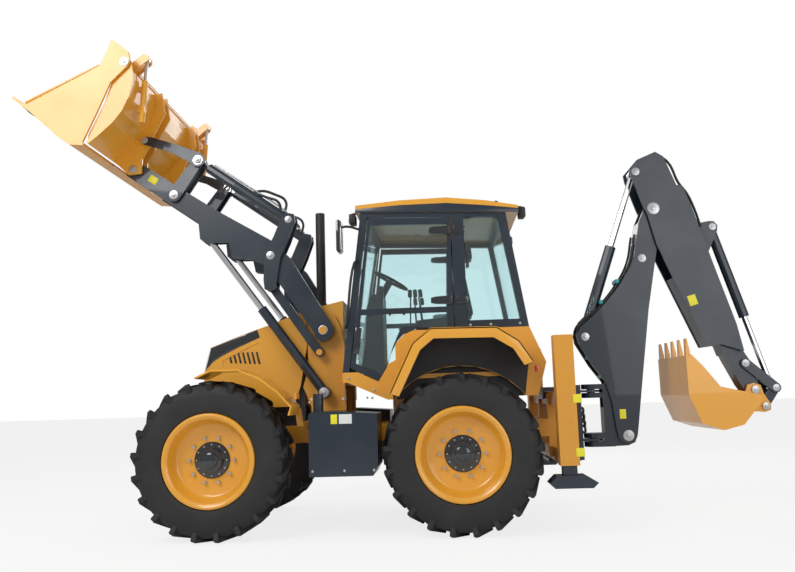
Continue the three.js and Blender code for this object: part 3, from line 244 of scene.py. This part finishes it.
def add_block(bm, x, y, z, edge=4.0, turn=None):
    """A block between two places on each axis, turned about its middle where a matrix is given."""
    middle = place(sum(x) / 2, sum(y) / 2, sum(z) / 2)
    size = [abs(span[1] - span[0]) * MM for span in (x, y, z)]
    matrix = Matrix.Translation(middle) @ (turn or Matrix.Identity(4)) @ Matrix.Diagonal((*size, 1))
    made = bmesh.ops.create_cube(bm, size=1, matrix=matrix)
    soften(bm, {f for v in made["verts"] for f in v.link_faces}, edge)


def add_plate(bm, outline, y0, y1, edge=0.0):
    """A plate with its outline in the side view and its thickness across the machine."""
    face = bm.faces.new([bm.verts.new(place(x, y0, z)) for x, z in outline])
    grown = bmesh.ops.extrude_face_region(bm, geom=[face])["geom"]
    moved = [item for item in grown if isinstance(item, bmesh.types.BMVert)]
    bmesh.ops.translate(bm, verts=moved, vec=(0, (y1 - y0) * MM, 0))
    faces = list({f for v in moved for f in v.link_faces} | ({face} if face.is_valid else set()))
    bmesh.ops.recalc_face_normals(bm, faces=faces)
    soften(bm, faces, edge)


def add_boss(bm, point, radius, y0, y1, edge=3.0, segments=28):
    """A round boss across the machine."""
    matrix = (Matrix.Translation(place(point[0], (y0 + y1) / 2, point[1]))
              @ Matrix.Rotation(math.pi / 2, 4, "X"))
    made = bmesh.ops.create_cone(bm, cap_ends=True, segments=segments, radius1=radius * MM, radius2=radius * MM,
                                 depth=abs(y1 - y0) * MM, matrix=matrix)
    soften(bm, {f for v in made["verts"] for f in v.link_faces}, edge)


def add_turned(bm, profile, steps, closed=True):
    """A shape turned about the Y axis from (radius, across) points in millimetres."""
    verts = [bm.verts.new((radius * MM, across * MM, 0)) for radius, across in profile]
    pairs = list(zip(verts, verts[1:])) + ([(verts[-1], verts[0])] if closed else [])
    edges = [bm.edges.new(pair) for pair in pairs]
    bmesh.ops.spin(bm, geom=verts + edges, axis=(0, 1, 0), cent=(0, 0, 0), angle=math.tau, steps=steps,
                   use_merge=True)
    bmesh.ops.remove_doubles(bm, verts=bm.verts, dist=1e-5)
    bmesh.ops.recalc_face_normals(bm, faces=bm.faces)


def piece(name, bm, material, body, smooth=math.radians(32)):
    mesh = bpy.data.meshes.new(name)
    bm.to_mesh(mesh)
    bm.free()
    mesh.materials.append(material)
    mesh.shade_smooth()
    mesh.set_sharp_from_angle(angle=smooth)
    made = bpy.data.objects.new(name, mesh)
    bpy.context.scene.collection.objects.link(made)
    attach(made, body)
    return made


def tube(name, points, radius, material, body, rounded=True):
    """A bent pipe or hose through places given in millimetres."""
    curve = bpy.data.curves.new(name, "CURVE")
    curve.dimensions = "3D"
    curve.bevel_depth = radius * MM
    curve.bevel_resolution = 3
    curve.resolution_u = 6
    curve.use_fill_caps = True
    line = curve.splines.new("BEZIER")
    line.bezier_points.add(len(points) - 1)
    for knot, point in zip(line.bezier_points, points):
        knot.co = place(*point)
        knot.handle_left_type = knot.handle_right_type = "AUTO" if rounded else "VECTOR"
    draft = bpy.data.objects.new(name + "_draft", curve)
    bpy.context.scene.collection.objects.link(draft)
    bpy.context.view_layer.update()
    mesh = bpy.data.meshes.new_from_object(draft.evaluated_get(bpy.context.evaluated_depsgraph_get()))
    bpy.data.objects.remove(draft)
    mesh.name = name
    mesh.materials.clear()
    mesh.materials.append(material)
    mesh.shade_smooth()
    made = bpy.data.objects.new(name, mesh)
    bpy.context.scene.collection.objects.link(made)
    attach(made, body)
    return made


print("helpers ready")

# %% [markdown]
# A loader tyre is a fat smooth carcass with thick slanting bars. The carcass is turned from half a cross
# section. The bars are blocks set at a slant, each with a heel that runs down over the shoulder, in two rows
# that are half a pitch apart. Turning and placing blocks keeps every bar the same, as a mould does.

# %% Tyres
TREAD_PITCH = 21
CARCASS = ((398, 176), (412, 196), (440, 207), (500, 211), (560, 209), (610, 198), (636, 176), (645, 120),
           (648, 60), (649, 0), (648, -60), (645, -120), (636, -176), (610, -198), (560, -209), (500, -211),
           (440, -207), (412, -196), (398, -176))


BAR_SLANT, BAR_SIZE = math.radians(38), (0.050, 0.225, 0.046, 1)
HEEL_LEAN, HEEL_SIZE = math.radians(24), (0.110, 0.042, 0.050, 1)


def add_bar(bm, angle, side):
    """One slanting tread bar and its heel, on a wheel that turns about the Y axis."""
    around = Matrix.Rotation(angle, 4, "Y")
    slant = Matrix.Rotation(side * BAR_SLANT, 4, "X")
    bar = around @ Matrix.Translation((0.651, side * 0.098, 0)) @ slant @ Matrix.Diagonal(BAR_SIZE)
    lean = Matrix.Rotation(side * HEEL_LEAN, 4, "Z")
    heel = around @ Matrix.Translation((0.612, side * 0.190, 0.064)) @ lean @ Matrix.Diagonal(HEEL_SIZE)
    for matrix in (bar, heel):
        made = bmesh.ops.create_cube(bm, size=1, matrix=matrix)
        soften(bm, {f for v in made["verts"] for f in v.link_faces}, 7, segments=1)


def build_wheel(end, name, side, axle):
    seat = Matrix.Translation(Vector((axle, side * WHEEL_Y, WHEEL_RADIUS)))
    flip = Matrix.Diagonal((1, side, 1, 1))
    body = f"{end}_wheel_{name}"
    tyre = bmesh.new()
    add_turned(tyre, CARCASS, 72)
    for step in range(TREAD_PITCH):
        add_bar(tyre, step * math.tau / TREAD_PITCH, 1)
        add_bar(tyre, (step + 0.5) * math.tau / TREAD_PITCH, -1)
    rim = bmesh.new()
    add_turned(rim, ((150, 38), (150, 54), (292, 58), (316, 72), (334, 104), (346, 150), (352, 186), (366, 200),
                     (384, 207), (398, 203), (404, 190), (404, -190), (392, -200), (372, -188), (345, -90),
                     (325, 15), (300, 34)), 64)
    hub = bmesh.new()
    add_turned(hub, ((0, 140), (52, 140), (62, 134), (66, 122), (98, 116), (106, 108), (110, 74), (148, 70),
                     (156, 62), (156, 30), (0, 30)), 40, closed=False)
    bolts = bmesh.new()
    for count, pitch, radius, low, high in ((10, 196, 15, 56, 84), (12, 132, 8, 66, 82)):
        for step in range(count):
            angle = step * math.tau / count
            middle = Vector((pitch * MM * math.cos(angle), (low + high) / 2 * MM, pitch * MM * math.sin(angle)))
            made = bmesh.ops.create_cone(bolts, cap_ends=True, segments=6, radius1=radius * MM,
                                         radius2=radius * MM, depth=(high - low) * MM,
                                         matrix=Matrix.Translation(middle) @ Matrix.Rotation(math.pi / 2, 4, "X"))
            soften(bolts, {f for v in made["verts"] for f in v.link_faces}, 1.5, segments=1)
    finished = (("tyre", tyre, tyre_rubber, "tyre_rubber"), ("rim", rim, body_yellow, "yellow_paint"),
                ("hub", hub, gloss_black, "black_parts"), ("bolts", bolts, cut_steel, "bright_steel"))
    made = []
    for part, bm, material, slot in finished:
        bmesh.ops.transform(bm, matrix=seat @ flip, verts=bm.verts)
        if side < 0:
            bmesh.ops.reverse_faces(bm, faces=bm.faces)
        made.append(piece(f"{part}_{end}_{name}", bm, material, body))
    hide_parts(body)
    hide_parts(body)


front_low, front_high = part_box("front_wheel_left")
FRONT_AXLE = (front_low[0] + front_high[0]) / 2
for name, side in SIDES:
    build_wheel("front", name, side, FRONT_AXLE)
    build_wheel("rear", name, side, AXLE_X)
print("tyre triangles", sum(len(p.vertices) - 2 for p in bpy.data.meshes["tyre_rear_left"].polygons))

# %% [markdown]
# The cab's glass is thin tinted sheet. Each pane is a plate a few millimetres larger than its opening, so that
# its edge is hidden in the seal, and a black rubber seal would hide the joint on the real machine.

# %% Glass
GLASS = 6
INNER_FACE = 727


def grown(outline, amount):
    middle_x = sum(x for x, _ in outline) / len(outline)
    middle_z = sum(z for _, z in outline) / len(outline)
    bigger = []
    for x, z in outline:
        reach = math.hypot(x - middle_x, z - middle_z)
        bigger.append((x + (x - middle_x) * amount / reach, z + (z - middle_z) * amount / reach))
    return bigger


DOOR = [(26, 2778), (776, 2800), (968, 1440), (715, 1320), (640, 1440), (600, 1560), (545, 1665), (480, 1735),
        (370, 1775), (26, 1775)]
QUARTER = [(-100, 1826), (-566, 1826), (-408, 2758), (-100, 2768)]
for name, side in SIDES:
    glass = bmesh.new()
    add_plate(glass, grown(DOOR, -56), side * 768, side * (768 + GLASS))
    piece(f"door_glass_{name}", glass, tinted_glass, f"door_{name}")
    quarter = bmesh.new()
    add_plate(quarter, QUARTER, side * 752, side * (752 + GLASS))
    piece(f"quarter_glass_{name}", quarter, tinted_glass, "chassis")
screens = bmesh.new()
add_plate(screens, [(1006, 1452), (1000, 1452), (802, 2742), (808, 2742)], -INNER_FACE, INNER_FACE)
add_plate(screens, [(-596, 1822), (-590, 1822), (-440, 2742), (-446, 2742)], -INNER_FACE, INNER_FACE)
piece("screens", screens, tinted_glass, "chassis")
print("glass fitted")

# %% [markdown]
# The driver's seat is foam under vinyl. A cushion like this is a block whose top swells in the middle and whose
# sides draw in between the corners. It starts as a cube cut into a grid, each point is moved by how far it is
# from the middle, and a subdivision surface rounds it. Two raised bolsters and a stitched channel finish it.

# %% Seat


def cushion(name, middle, size, lean, crown=0.16, pull=0.05):
    bm = bmesh.new()
    bmesh.ops.create_cube(bm, size=2)
    bmesh.ops.subdivide_edges(bm, edges=bm.edges, cuts=8, use_grid_fill=True)
    turn = Matrix.Rotation(math.radians(lean), 4, "Y")
    for vert in bm.verts:
        u, v, w = vert.co
        swell = (1 - u * u) * (1 - v * v)
        channel = 0.05 * math.exp(-((abs(v) - 0.55) / 0.07) ** 2) if w > 0.9 else 0
        vert.co = Vector((
            u * (1 - pull * (1 - v * v)) * size[0] / 2,
            v * (1 - pull * (1 - u * u)) * size[1] / 2,
            w * (0.84 + crown * swell) * size[2] / 2 - channel * size[2],
        )) * MM
    bmesh.ops.transform(bm, matrix=Matrix.Translation(place(*middle)) @ turn, verts=bm.verts)
    made = piece(name, bm, seat_vinyl, "chassis", smooth=math.pi)
    rounding = made.modifiers.new("rounding", "SUBSURF")
    rounding.levels = rounding.render_levels = 1
    return made


squab = cushion("seat_squab", (115, 0, 1865), (520, 520, 130), 4)
backrest = cushion("seat_back", (-75, 0, 2200), (560, 500, 130), -80)
head = cushion("seat_headrest", (-150, 0, 2590), (170, 280, 80), -85)
base = bmesh.new()
add_block(base, (-280, 90), (-170, 170), (1702, 1805), edge=14)
add_block(base, (-160, -130), (-60, 60), (2440, 2520), edge=6)
seat_base = piece("seat_base", base, black_moulding, "chassis")
for part in (squab, backrest, head, seat_base):
    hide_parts("seat")

# %% [markdown]
# The driver steers with a padded wheel on a leaning column, and works the loader with short levers. Everything
# on the console sits on the floor of the cab, so it all rides on the chassis.

# %% Driver's controls
LEAN = math.radians(30)
wheel_seat = Matrix.Translation(place(630, 0, 2330)) @ Matrix.Rotation(-LEAN, 4, "Y")
controls, ring = bmesh.new(), bmesh.new()
ring_points = []
for step in range(12):
    angle = step * math.tau / 12
    ring_points.append((182 + 13 * math.cos(angle), 13 * math.sin(angle)))
add_turned(ring, ring_points, 40)
bmesh.ops.transform(ring, matrix=wheel_seat @ Matrix.Rotation(math.pi / 2, 4, "X"), verts=ring.verts)
piece("steering_rim", ring, black_moulding, "chassis")
for x, y, lean in ((330, 330, 6), (380, 330, 3), (430, 330, -2), (330, -330, 6), (400, -330, 2)):
    tilt = Matrix.Rotation(math.radians(lean), 4, "Y")
    add_block(controls, (x - 7, x + 7), (y - 7, y + 7), (1780, 2120), edge=3, turn=tilt)
    add_block(controls, (x - 20, x + 20), (y - 18, y + 18), (2110, 2190), edge=14, turn=tilt)
add_block(controls, (250, 500), (285, 375), (1371, 1800), edge=18)
add_block(controls, (250, 500), (-375, -285), (1371, 1800), edge=18)
add_block(controls, (700, 760), (-180, 180), (2130, 2260), edge=16)
piece("control_levers", controls, black_moulding, "chassis")
print("controls fitted")

# %% [markdown]
# A joint shows on the outside as a pin with a wide washer and a bolt in its middle. They are all the same shape
# in two sizes, so one loop places them, and each group rides on the body that carries the pin.

# %% Pin heads
PIN_HEADS = {
    "loader_arms": (((1247, 1813), 538, 44), ((1731, 2535), 569, 40), ((2669, 3165), 572, 46),
                    ((3076, 3441), 572, 40)),
    "lift_barrels": (((1247, 1232), 537, 46),),
    "tilt_barrels": (((1557, 2876), 569, 34),),
    "curved_links": (((2431, 3498), 600, 38), ((2954, 3718), 598, 34)),
    "boom": (((-1601, 741), 115, 52), ((-1250, 1695), 115, 40), ((-1847, 2445), 115, 40)),
    "dipper": (((-1984, 2931), 147, 60), ((-1838, 3311), 147, 40)),
    "dipper_extension": (((-2560, 2738), 84, 36),),
    "hoe_lever": (((-2751, 1391), 111, 36), ((-3016, 1151), 111, 34)),
    "hoe_bucket": (((-2815, 1138), 130, 38), ((-2900, 980), 130, 36)),
    "loader_bucket_clam": (((2934, 4271), 1170, 44),),
}
for body, heads in PIN_HEADS.items():
    washers, nuts = bmesh.new(), bmesh.new()
    for point, face, radius in heads:
        for _, side in SIDES:
            add_boss(washers, point, radius, side * face, side * (face + 4), edge=1.5)
            add_boss(nuts, point, radius * 0.42, side * (face + 3), side * (face + 10), edge=2, segments=6)
    piece(f"pin_washers_{body}", washers, cut_steel, body)
    piece(f"pin_nuts_{body}", nuts, cut_steel, body)

# %% [markdown]
# Oil goes to each ram through steel pipes clipped along the arms and short flexible hoses at their ends. A pipe
# is a curve with a round bevel, made into a mesh so that its place is in its points. Every run below is held at
# both ends by one body, so none of it stretches when a joint turns.

# %% Pipes and hoses
for name, side in SIDES:
    for step, offset in enumerate((-16, 16)):
        y = side * (488 + offset)
        tube(f"tilt_pipe_{name}_{step}", ((1585, y, 2962), (1627, y, 3002), (1960, y, 3239), (2287, y, 3471)), 8,
             hard_chrome, "tilt_barrels")
    tube(f"tilt_hose_{name}_a", ((1640, side * 500, 2965), (1660, side * 510, 3060), (1780, side * 505, 3120),
                                 (1980, side * 500, 3200), (2230, side * 500, 3370), (2330, side * 492, 3400)),
         13, hose_rubber, "tilt_barrels")
    tube(f"tilt_hose_{name}_b", ((1610, side * 470, 2960), (1600, side * 468, 3080), (1700, side * 470, 3150),
                                 (1860, side * 474, 3190), (1930, side * 480, 3150), (1900, side * 488, 3110)),
         13, hose_rubber, "tilt_barrels")
for step, y in enumerate((-76, -74, 74, 76)):
    back = 26 if abs(y) < 76 else 0
    tube(f"boom_hose_{step}", ((-1560 - back, y, 900), (-1500 - back, y, 1010), (-1420 - back, y, 1300),
                               (-1310 - back, y, 1490), (-1180 - back, y, 1690), (-1200 - back, y, 1800),
                               (-1440 - back, y, 2010), (-1610 - back, y, 2210), (-1735 - back, y, 2420),
                               (-1800 - back, y, 2690)), 11, hose_rubber, "boom")
    tube(f"dipper_hose_{step}", ((-2060, y * 1.5, 3490), (-2170, y * 1.5, 3400), (-2255, y * 1.5, 3190),
                                 (-2330, y * 1.4, 3080), (-2400, y * 1.3, 2900), (-2440, y * 1.3, 2740)),
         12, hose_rubber, "dipper")
ties = bmesh.new()
for x, z in ((-1395, 1310), (-1285, 1500), (-1430, 2032), (-1600, 2232)):
    add_block(ties, (x - 16, x + 16), (-88, 88), (z - 20, z + 20), edge=4)
piece("boom_hose_ties", ties, tie_teal, "boom")
print("pipes fitted")

# %% [markdown]
# Lamps, mirror, handles and lifting eyes are small, yet they tell the eye how big the machine is. A lamp is a
# black housing with a clear lens set a few millimetres proud.

# %% Cab fittings
housings, lenses = bmesh.new(), bmesh.new()
for side in (1, -1):
    for x0, x1, lens_x in ((896, 956, 958), (-664, -604, -668)):
        z0 = 2770
        y0, y1 = side * 610, side * 760
        add_block(housings, (x0, x1), (min(y0, y1), max(y0, y1)), (z0, z0 + 92), edge=12)
        add_block(lenses, (lens_x - 4, lens_x + 6), (min(y0, y1) + 10, max(y0, y1) - 10), (z0 + 9, z0 + 83), edge=5)
        add_block(housings, ((x0 + x1) / 2 - 14, (x0 + x1) / 2 + 14), (side * 670 - 12, side * 670 + 12),
                  (z0 + 86, z0 + 110), edge=3)
piece("work_lamp_housings", housings, black_moulding, "chassis")
piece("work_lamp_lenses", lenses, lamp_clear, "chassis")
brackets = bmesh.new()
for side in (1, -1):
    for x0, x1 in ((820, 930), (-640, -540)):
        add_block(brackets, (x0, x1), (side * 670 - 18, side * 670 + 18), (2872, 2884), edge=2)
for x in (-420, 700):
    for side in (1, -1):
        add_boss(brackets, (x, 2960 if x < 0 else 2966), 24, side * 520 - 8, side * 520 + 8)
piece("roof_brackets", brackets, black_moulding, "chassis")

mirrors, mirror_faces = bmesh.new(), bmesh.new()
for side in (1, -1):
    y = side * 905
    add_block(mirrors, (1010, 1050), (y - 90, y + 90), (2470, 2760), edge=16)
    add_block(mirror_faces, (1004, 1012), (y - 78, y + 78), (2484, 2746), edge=4)
piece("mirrors", mirrors, gloss_black, "chassis")
piece("mirror_faces", mirror_faces, mirror_glass, "chassis")
for name, side in SIDES:
    tube(f"mirror_arm_{name}", ((850, side * 780, 2700), (960, side * 850, 2720), (1030, side * 900, 2700)), 11,
         black_moulding, "chassis")
    tube(f"grab_rail_{name}", ((1000, side * 792, 1800), (985, side * 850, 1830), (905, side * 850, 2380),
                               (880, side * 792, 2410)), 12, black_moulding, "chassis")
    tube(f"door_handle_{name}", ((600, side * 806, 1905), (590, side * 850, 1915), (480, side * 850, 1915),
                                 (470, side * 806, 1905)), 10, black_moulding, f"door_{name}")
    leaves, straps = bmesh.new(), bmesh.new()
    for z in (2021, 2662):
        inner, outer = across(side, 800, 815)
        add_plate(leaves, [(34, z - 40), (180, z - 34), (225, z - 24), (225, z + 24), (180, z + 34), (34, z + 40)],
                  inner, outer, edge=3)
        add_plate(straps, [(-2, z - 40), (-80, z - 34), (-110, z - 24), (-110, z + 24), (-80, z + 34), (-2, z + 40)],
                  *across(side, 786, 800), edge=3)
    piece(f"door_hinges_{name}", leaves, gloss_black, f"door_{name}")
    piece(f"frame_hinges_{name}", straps, gloss_black, "chassis")

wiper = bmesh.new()
add_block(wiper, (968, 984), (-30, 30), (1690, 1750), edge=4)
piece("wiper_motor", wiper, black_moulding, "chassis")
tube("wiper_arm", ((985, 0, 1720), (930, 60, 2060), (880, 120, 2400)), 7, black_moulding, "chassis")
print("cab fitted")

# %% [markdown]
# The exhaust is a black pipe over the yellow cowl, and the hood's top and nose carry a dark glossy panel with a
# pale edge. The nose also has lamps and a louvred grille. Panels are thin plates that lie on the hood's skin.

# %% Hood and exhaust
stack = bmesh.new()
add_turned(stack, ((49, -560), (49, 548), (47, 552), (41, 552), (41, -560)), 32)
bmesh.ops.transform(stack, matrix=Matrix.Translation(place(1375, -250, 2560)) @ Matrix.Rotation(math.pi / 2, 4, "X"),
                    verts=stack.verts)
piece("exhaust_stack", stack, black_moulding, "chassis")

dark, pale = bmesh.new(), bmesh.new()
for _, side in SIDES:
    add_plate(dark, [(1905, 1850), (2080, 1790), (2352, 1688), (2405, 1480), (2330, 1560), (2245, 1610),
                     (2080, 1690), (1880, 1775)], side * 385, side * 388, edge=1)
    add_plate(pale, [(2352, 1690), (2362, 1692), (2420, 1466), (2424, 1380), (2412, 1380), (2404, 1480)],
              side * 385, side * 390, edge=1)
piece("hood_dark_panels", dark, gloss_black, "hood")
piece("hood_pale_edges", pale, label_pale, "hood")
top = bmesh.new()
add_plate(top, [(1905, 1851), (2080, 1796), (2357, 1693), (2358, 1697), (2081, 1800), (1906, 1855)], -300, 300,
          edge=1)
piece("hood_top_panel", top, gloss_black, "hood")
grille = bmesh.new()
for step in range(9):
    z = 1180 + step * 30
    add_block(grille, (2414, 2431), (-250, 250), (z, z + 12), edge=3)
add_block(grille, (2412, 2424), (-270, 270), (1150, 1460), edge=6)
piece("hood_grille", grille, black_moulding, "hood")
head_lamps = bmesh.new()
for _, side in SIDES:
    low, high = across(side, 285, 370)
    add_block(head_lamps, (2408, 2430), (low, high), (1340, 1450), edge=10)
piece("head_lamps", head_lamps, lamp_clear, "hood")
louvres = bmesh.new()
for _, side in SIDES:
    for step in range(7):
        x = 1890 + 45 * step
        low, high = across(side, 377, 384)
        add_block(louvres, (x, x + 18), (low, high), (1520 + 3 * step, 1640), edge=2,
                  turn=Matrix.Rotation(math.radians(14), 4, "Y"))
piece("hood_louvres", louvres, black_moulding, "hood")
print("hood finished")

# %% [markdown]
# Stickers and plates are generic and blank: a maker's words have no place on a shared part. Lamps at the rear
# of the fenders, bolts on the sill and the toe plates of the tank finish the body.

# %% Body details
stickers, plates, amber, red, bolts = (bmesh.new() for _ in range(5))
for _, side in SIDES:
    for marks, (x0, x1), (z0, z1), face in (
            (stickers, (-1000, -930), (1080, 1150), 1152), (stickers, (-1000, -930), (640, 710), 1152),
            (plates, (930, 1040), (960, 1040), 1101), (stickers, (1055, 1110), (960, 1040), 1101)):
        low, high = across(side, face - 2, face + 2)
        add_block(marks, (x0, x1), (low, high), (z0, z1), edge=1)
    low, high = across(side, 1010, 1140)
    add_block(red, (-660, -640), (low, high), (1350, 1400), edge=4)
    add_block(amber, (1392, 1412), (low, high), (1180, 1230), edge=4)
    for x, z in ((985, 1350), (760, 1240), (-560, 1790), (-300, 1790), (-120, 1790)):
        low, high = across(side, 784, 798)
        add_boss(bolts, (x, z), 12, low, high, edge=2, segments=6)
    for x in (750, 1000, 1270):
        for z in (570, 1170):
            low, high = across(side, 1096, 1110)
            add_boss(bolts, (x, z), 12, low, high, edge=2, segments=6)
piece("warning_squares", stickers, label_yellow, "chassis")
piece("blank_plates", plates, label_pale, "chassis")
piece("rear_lamps", red, lamp_red, "chassis")
piece("front_indicators", amber, lamp_amber, "chassis")
piece("body_bolts", bolts, cut_steel, "chassis")

ARCH = [(560, 1150), (560, 1230), (397, 1600), (235, 1725), (-324, 1718), (-500, 1600), (-605, 1435), (-640, 1160),
        (-560, 1150)]
CROWN = [(604, 1200), (397, 1623), (235, 1748), (-324, 1741), (-512, 1618), (-631, 1435)]
LIP_INSIDE = [(-545, 1405), (-458, 1548), (-296, 1648), (212, 1655), (330, 1560), (520, 1175)]
WHEEL_ARCH = [(752 * math.cos(math.radians(angle)), 680 + 752 * math.sin(math.radians(angle)))
              for angle in range(140, 32, -6)]
arches, lips, gutters = bmesh.new(), bmesh.new(), bmesh.new()
for _, side in SIDES:
    low, high = across(side, 706, 712)
    add_plate(arches, ARCH, low, high)
    low, high = across(side, 789, 793)
    add_plate(arches, [(590, 1195), (388, 1608), (230, 1730), (-320, 1724), (-500, 1606), (-616, 1430)] + WHEEL_ARCH,
              low, high)
    low, high = across(side, 1128, 1150)
    add_plate(lips, CROWN + LIP_INSIDE, low, high, edge=4)
    low, high = across(side, 798, 803)
    add_plate(gutters, [(-598, 2801), (893, 2859), (893, 2890), (480, 2912), (56, 2914), (-300, 2878), (-598, 2838)],
              low, high, edge=1)
piece("arch_linings", arches, black_moulding, "chassis")
piece("fender_lips", lips, body_yellow, "chassis")
piece("roof_gutters", gutters, arm_slate, "chassis")
for name, side in SIDES:
    latch = bmesh.new()
    low, high = across(side, 806, 822)
    add_block(latch, (868, 928), (low, high), (1560, 1800), edge=8, turn=Matrix.Rotation(math.radians(-8), 4, "Y"))
    piece(f"door_latch_{name}", latch, gloss_black, f"door_{name}")
for name, side in SIDES:
    for step, height in enumerate((0, 60, 120)):
        y = side * (228 - 26 * step)
        tube(f"swing_hose_{name}_{step}", ((-1146, y, 880 + height), (-1166, y, 895 + height),
                                           (-1174, y, 840 + height), (-1166, y, 785 + height),
                                           (-1146, y, 800 + height)), 12, hose_rubber, "carriage")

arm_marks = bmesh.new()
for _, side in SIDES:
    low, high = across(side, 536, 540)
    add_block(arm_marks, (2840, 2930), (low, high), (3300, 3370), edge=1,
              turn=Matrix.Rotation(math.radians(-33), 4, "Y"))
piece("arm_squares", arm_marks, label_yellow, "loader_arms")
boom_marks = bmesh.new()
for _, side in SIDES:
    low, high = across(side, 113, 117)
    add_block(boom_marks, (-1590, -1530), (low, high), (900, 990), edge=1)
piece("boom_squares", boom_marks, label_yellow, "boom")
dipper_marks = bmesh.new()
for _, side in SIDES:
    low, high = across(side, 145, 149)
    add_block(dipper_marks, (-2330, -2250), (low, high), (1960, 2060), edge=1,
              turn=Matrix.Rotation(math.radians(15), 4, "Y"))
piece("dipper_squares", dipper_marks, label_yellow, "dipper")
print("body details fitted")

# %% [markdown]
# A bucket cuts with a hard steel edge bolted to its lip, and its corners take the wear. The edge is a thin plate
# in front of the lip.

# %% Cutting edges
edge_bm, edge_bolts = bmesh.new(), bmesh.new()
add_plate(edge_bm, [(3950, 3962), (3973, 3973), (3830, 3848), (3806, 3828)], -1166, 1166, edge=2)
for step in range(13):
    y = -1080 + step * 180
    matrix = Matrix.Translation(place(3870, y, 3905)) @ Matrix.Rotation(math.radians(51), 4, "Y")
    bmesh.ops.create_cone(edge_bolts, cap_ends=True, segments=10, radius1=0.016, radius2=0.012, depth=0.02,
                                 matrix=matrix)
piece("clam_cutting_edge", edge_bm, cut_steel, "loader_bucket_clam")
piece("clam_edge_bolts", edge_bolts, cut_steel, "loader_bucket_clam")
rib = bmesh.new()
for _, side in SIDES:
    low, high = across(side, 1168, 1178)
    add_plate(rib, [(3157, 4250), (3178, 4252), (3850, 3930), (3840, 3915)], low, high, edge=2)
piece("clam_side_ribs", rib, body_yellow, "loader_bucket_clam")
print("buckets finished")

# %% [markdown]
# The floor is plain and pale so that nothing competes with the machine. A soft key lamp from the upper left, a
# wide fill and a rim lamp behind make the edges read, and the camera stands level with the fenders.

# %% Floor, light and camera
floor_mesh = bpy.data.meshes.new("floor")
floor_bm = bmesh.new()
bmesh.ops.create_grid(floor_bm, x_segments=1, y_segments=1, size=60)
floor_bm.to_mesh(floor_mesh)
floor_bm.free()
floor = bpy.data.objects.new("floor", floor_mesh)
bpy.context.scene.collection.objects.link(floor)
floor_paint = bpy.data.materials.new("pale_floor")
floor_paint.use_nodes = True
tree, link = floor_paint.node_tree.nodes, floor_paint.node_tree.links.new
shader, output = tree["Principled BSDF"], tree["Material Output"]
shader.inputs["Base Color"].default_value = (0.92, 0.92, 0.92, 1)
shader.inputs["Roughness"].default_value = 0.9
glow, blend, path = tree.new("ShaderNodeEmission"), tree.new("ShaderNodeMixShader"), tree.new("ShaderNodeLightPath")
share = tree.new("ShaderNodeMath")
share.operation = "MULTIPLY"
share.inputs[1].default_value = 0.8
link(path.outputs["Is Camera Ray"], share.inputs[0])
link(share.outputs["Value"], blend.inputs["Fac"])
link(shader.outputs["BSDF"], blend.inputs[1])
link(glow.outputs["Emission"], blend.inputs[2])
link(blend.outputs["Shader"], output.inputs["Surface"])
floor_mesh.materials.append(floor_paint)

world = bpy.data.worlds.new("studio")
bpy.context.scene.world = world
world.use_nodes = True
tree, link = world.node_tree.nodes, world.node_tree.links.new
sky, path = tree["Background"], tree.new("ShaderNodeLightPath")
bright = tree.new("ShaderNodeMapRange")
bright.inputs["To Min"].default_value = 0.42
bright.inputs["To Max"].default_value = 1.0
seen = tree.new("ShaderNodeMath")
seen.operation = "MAXIMUM"
link(path.outputs["Is Camera Ray"], seen.inputs[0])
link(path.outputs["Is Transmission Ray"], seen.inputs[1])
link(seen.outputs["Value"], bright.inputs["Value"])
link(bright.outputs["Result"], sky.inputs["Strength"])
sky.inputs["Color"].default_value = (1, 1, 1, 1)


def lamp(name, spot, aim, size, power):
    light = bpy.data.lights.new(name, "AREA")
    light.energy, light.size = power, size
    made = bpy.data.objects.new(name, light)
    made.location = Vector(spot)
    made.rotation_euler = (Vector(aim) - Vector(spot)).to_track_quat("-Z", "Y").to_euler()
    bpy.context.scene.collection.objects.link(made)


lamp("key", (4.5, 6.0, 6.5), (0, 0, 1.5), 3.5, 300)
lamp("fill", (-5.5, 7.0, 3.5), (0, 0, 1.5), 5.0, 150)
lamp("rim", (-2.0, -7.0, 6.0), (0, 0, 2.0), 4.0, 140)

YAW, PITCH, ROLL = 0.05232, 0.13884, -0.03043
forward = Vector((math.sin(YAW) * math.cos(PITCH), -math.cos(YAW) * math.cos(PITCH), math.sin(PITCH)))
right = forward.cross(Vector((0, 0, 1))).normalized()
up = right.cross(forward)
rolled_right = math.cos(ROLL) * right + math.sin(ROLL) * up
rolled_up = -math.sin(ROLL) * right + math.cos(ROLL) * up
camera_data = bpy.data.cameras.new("camera")
camera_data.sensor_fit = "HORIZONTAL"
camera_data.sensor_width = 36
camera_data.lens = 35.6
camera = bpy.data.objects.new("camera", camera_data)
camera.matrix_world = Matrix.Translation(place(154.4, 7832.1, 1180.4)) @ Matrix(
    (rolled_right, rolled_up, -forward)).transposed().to_4x4()
bpy.context.scene.collection.objects.link(camera)
bpy.context.scene.camera = camera
bpy.context.scene.view_settings.view_transform = "Standard"
print("camera at", [round(v, 3) for v in camera.location])
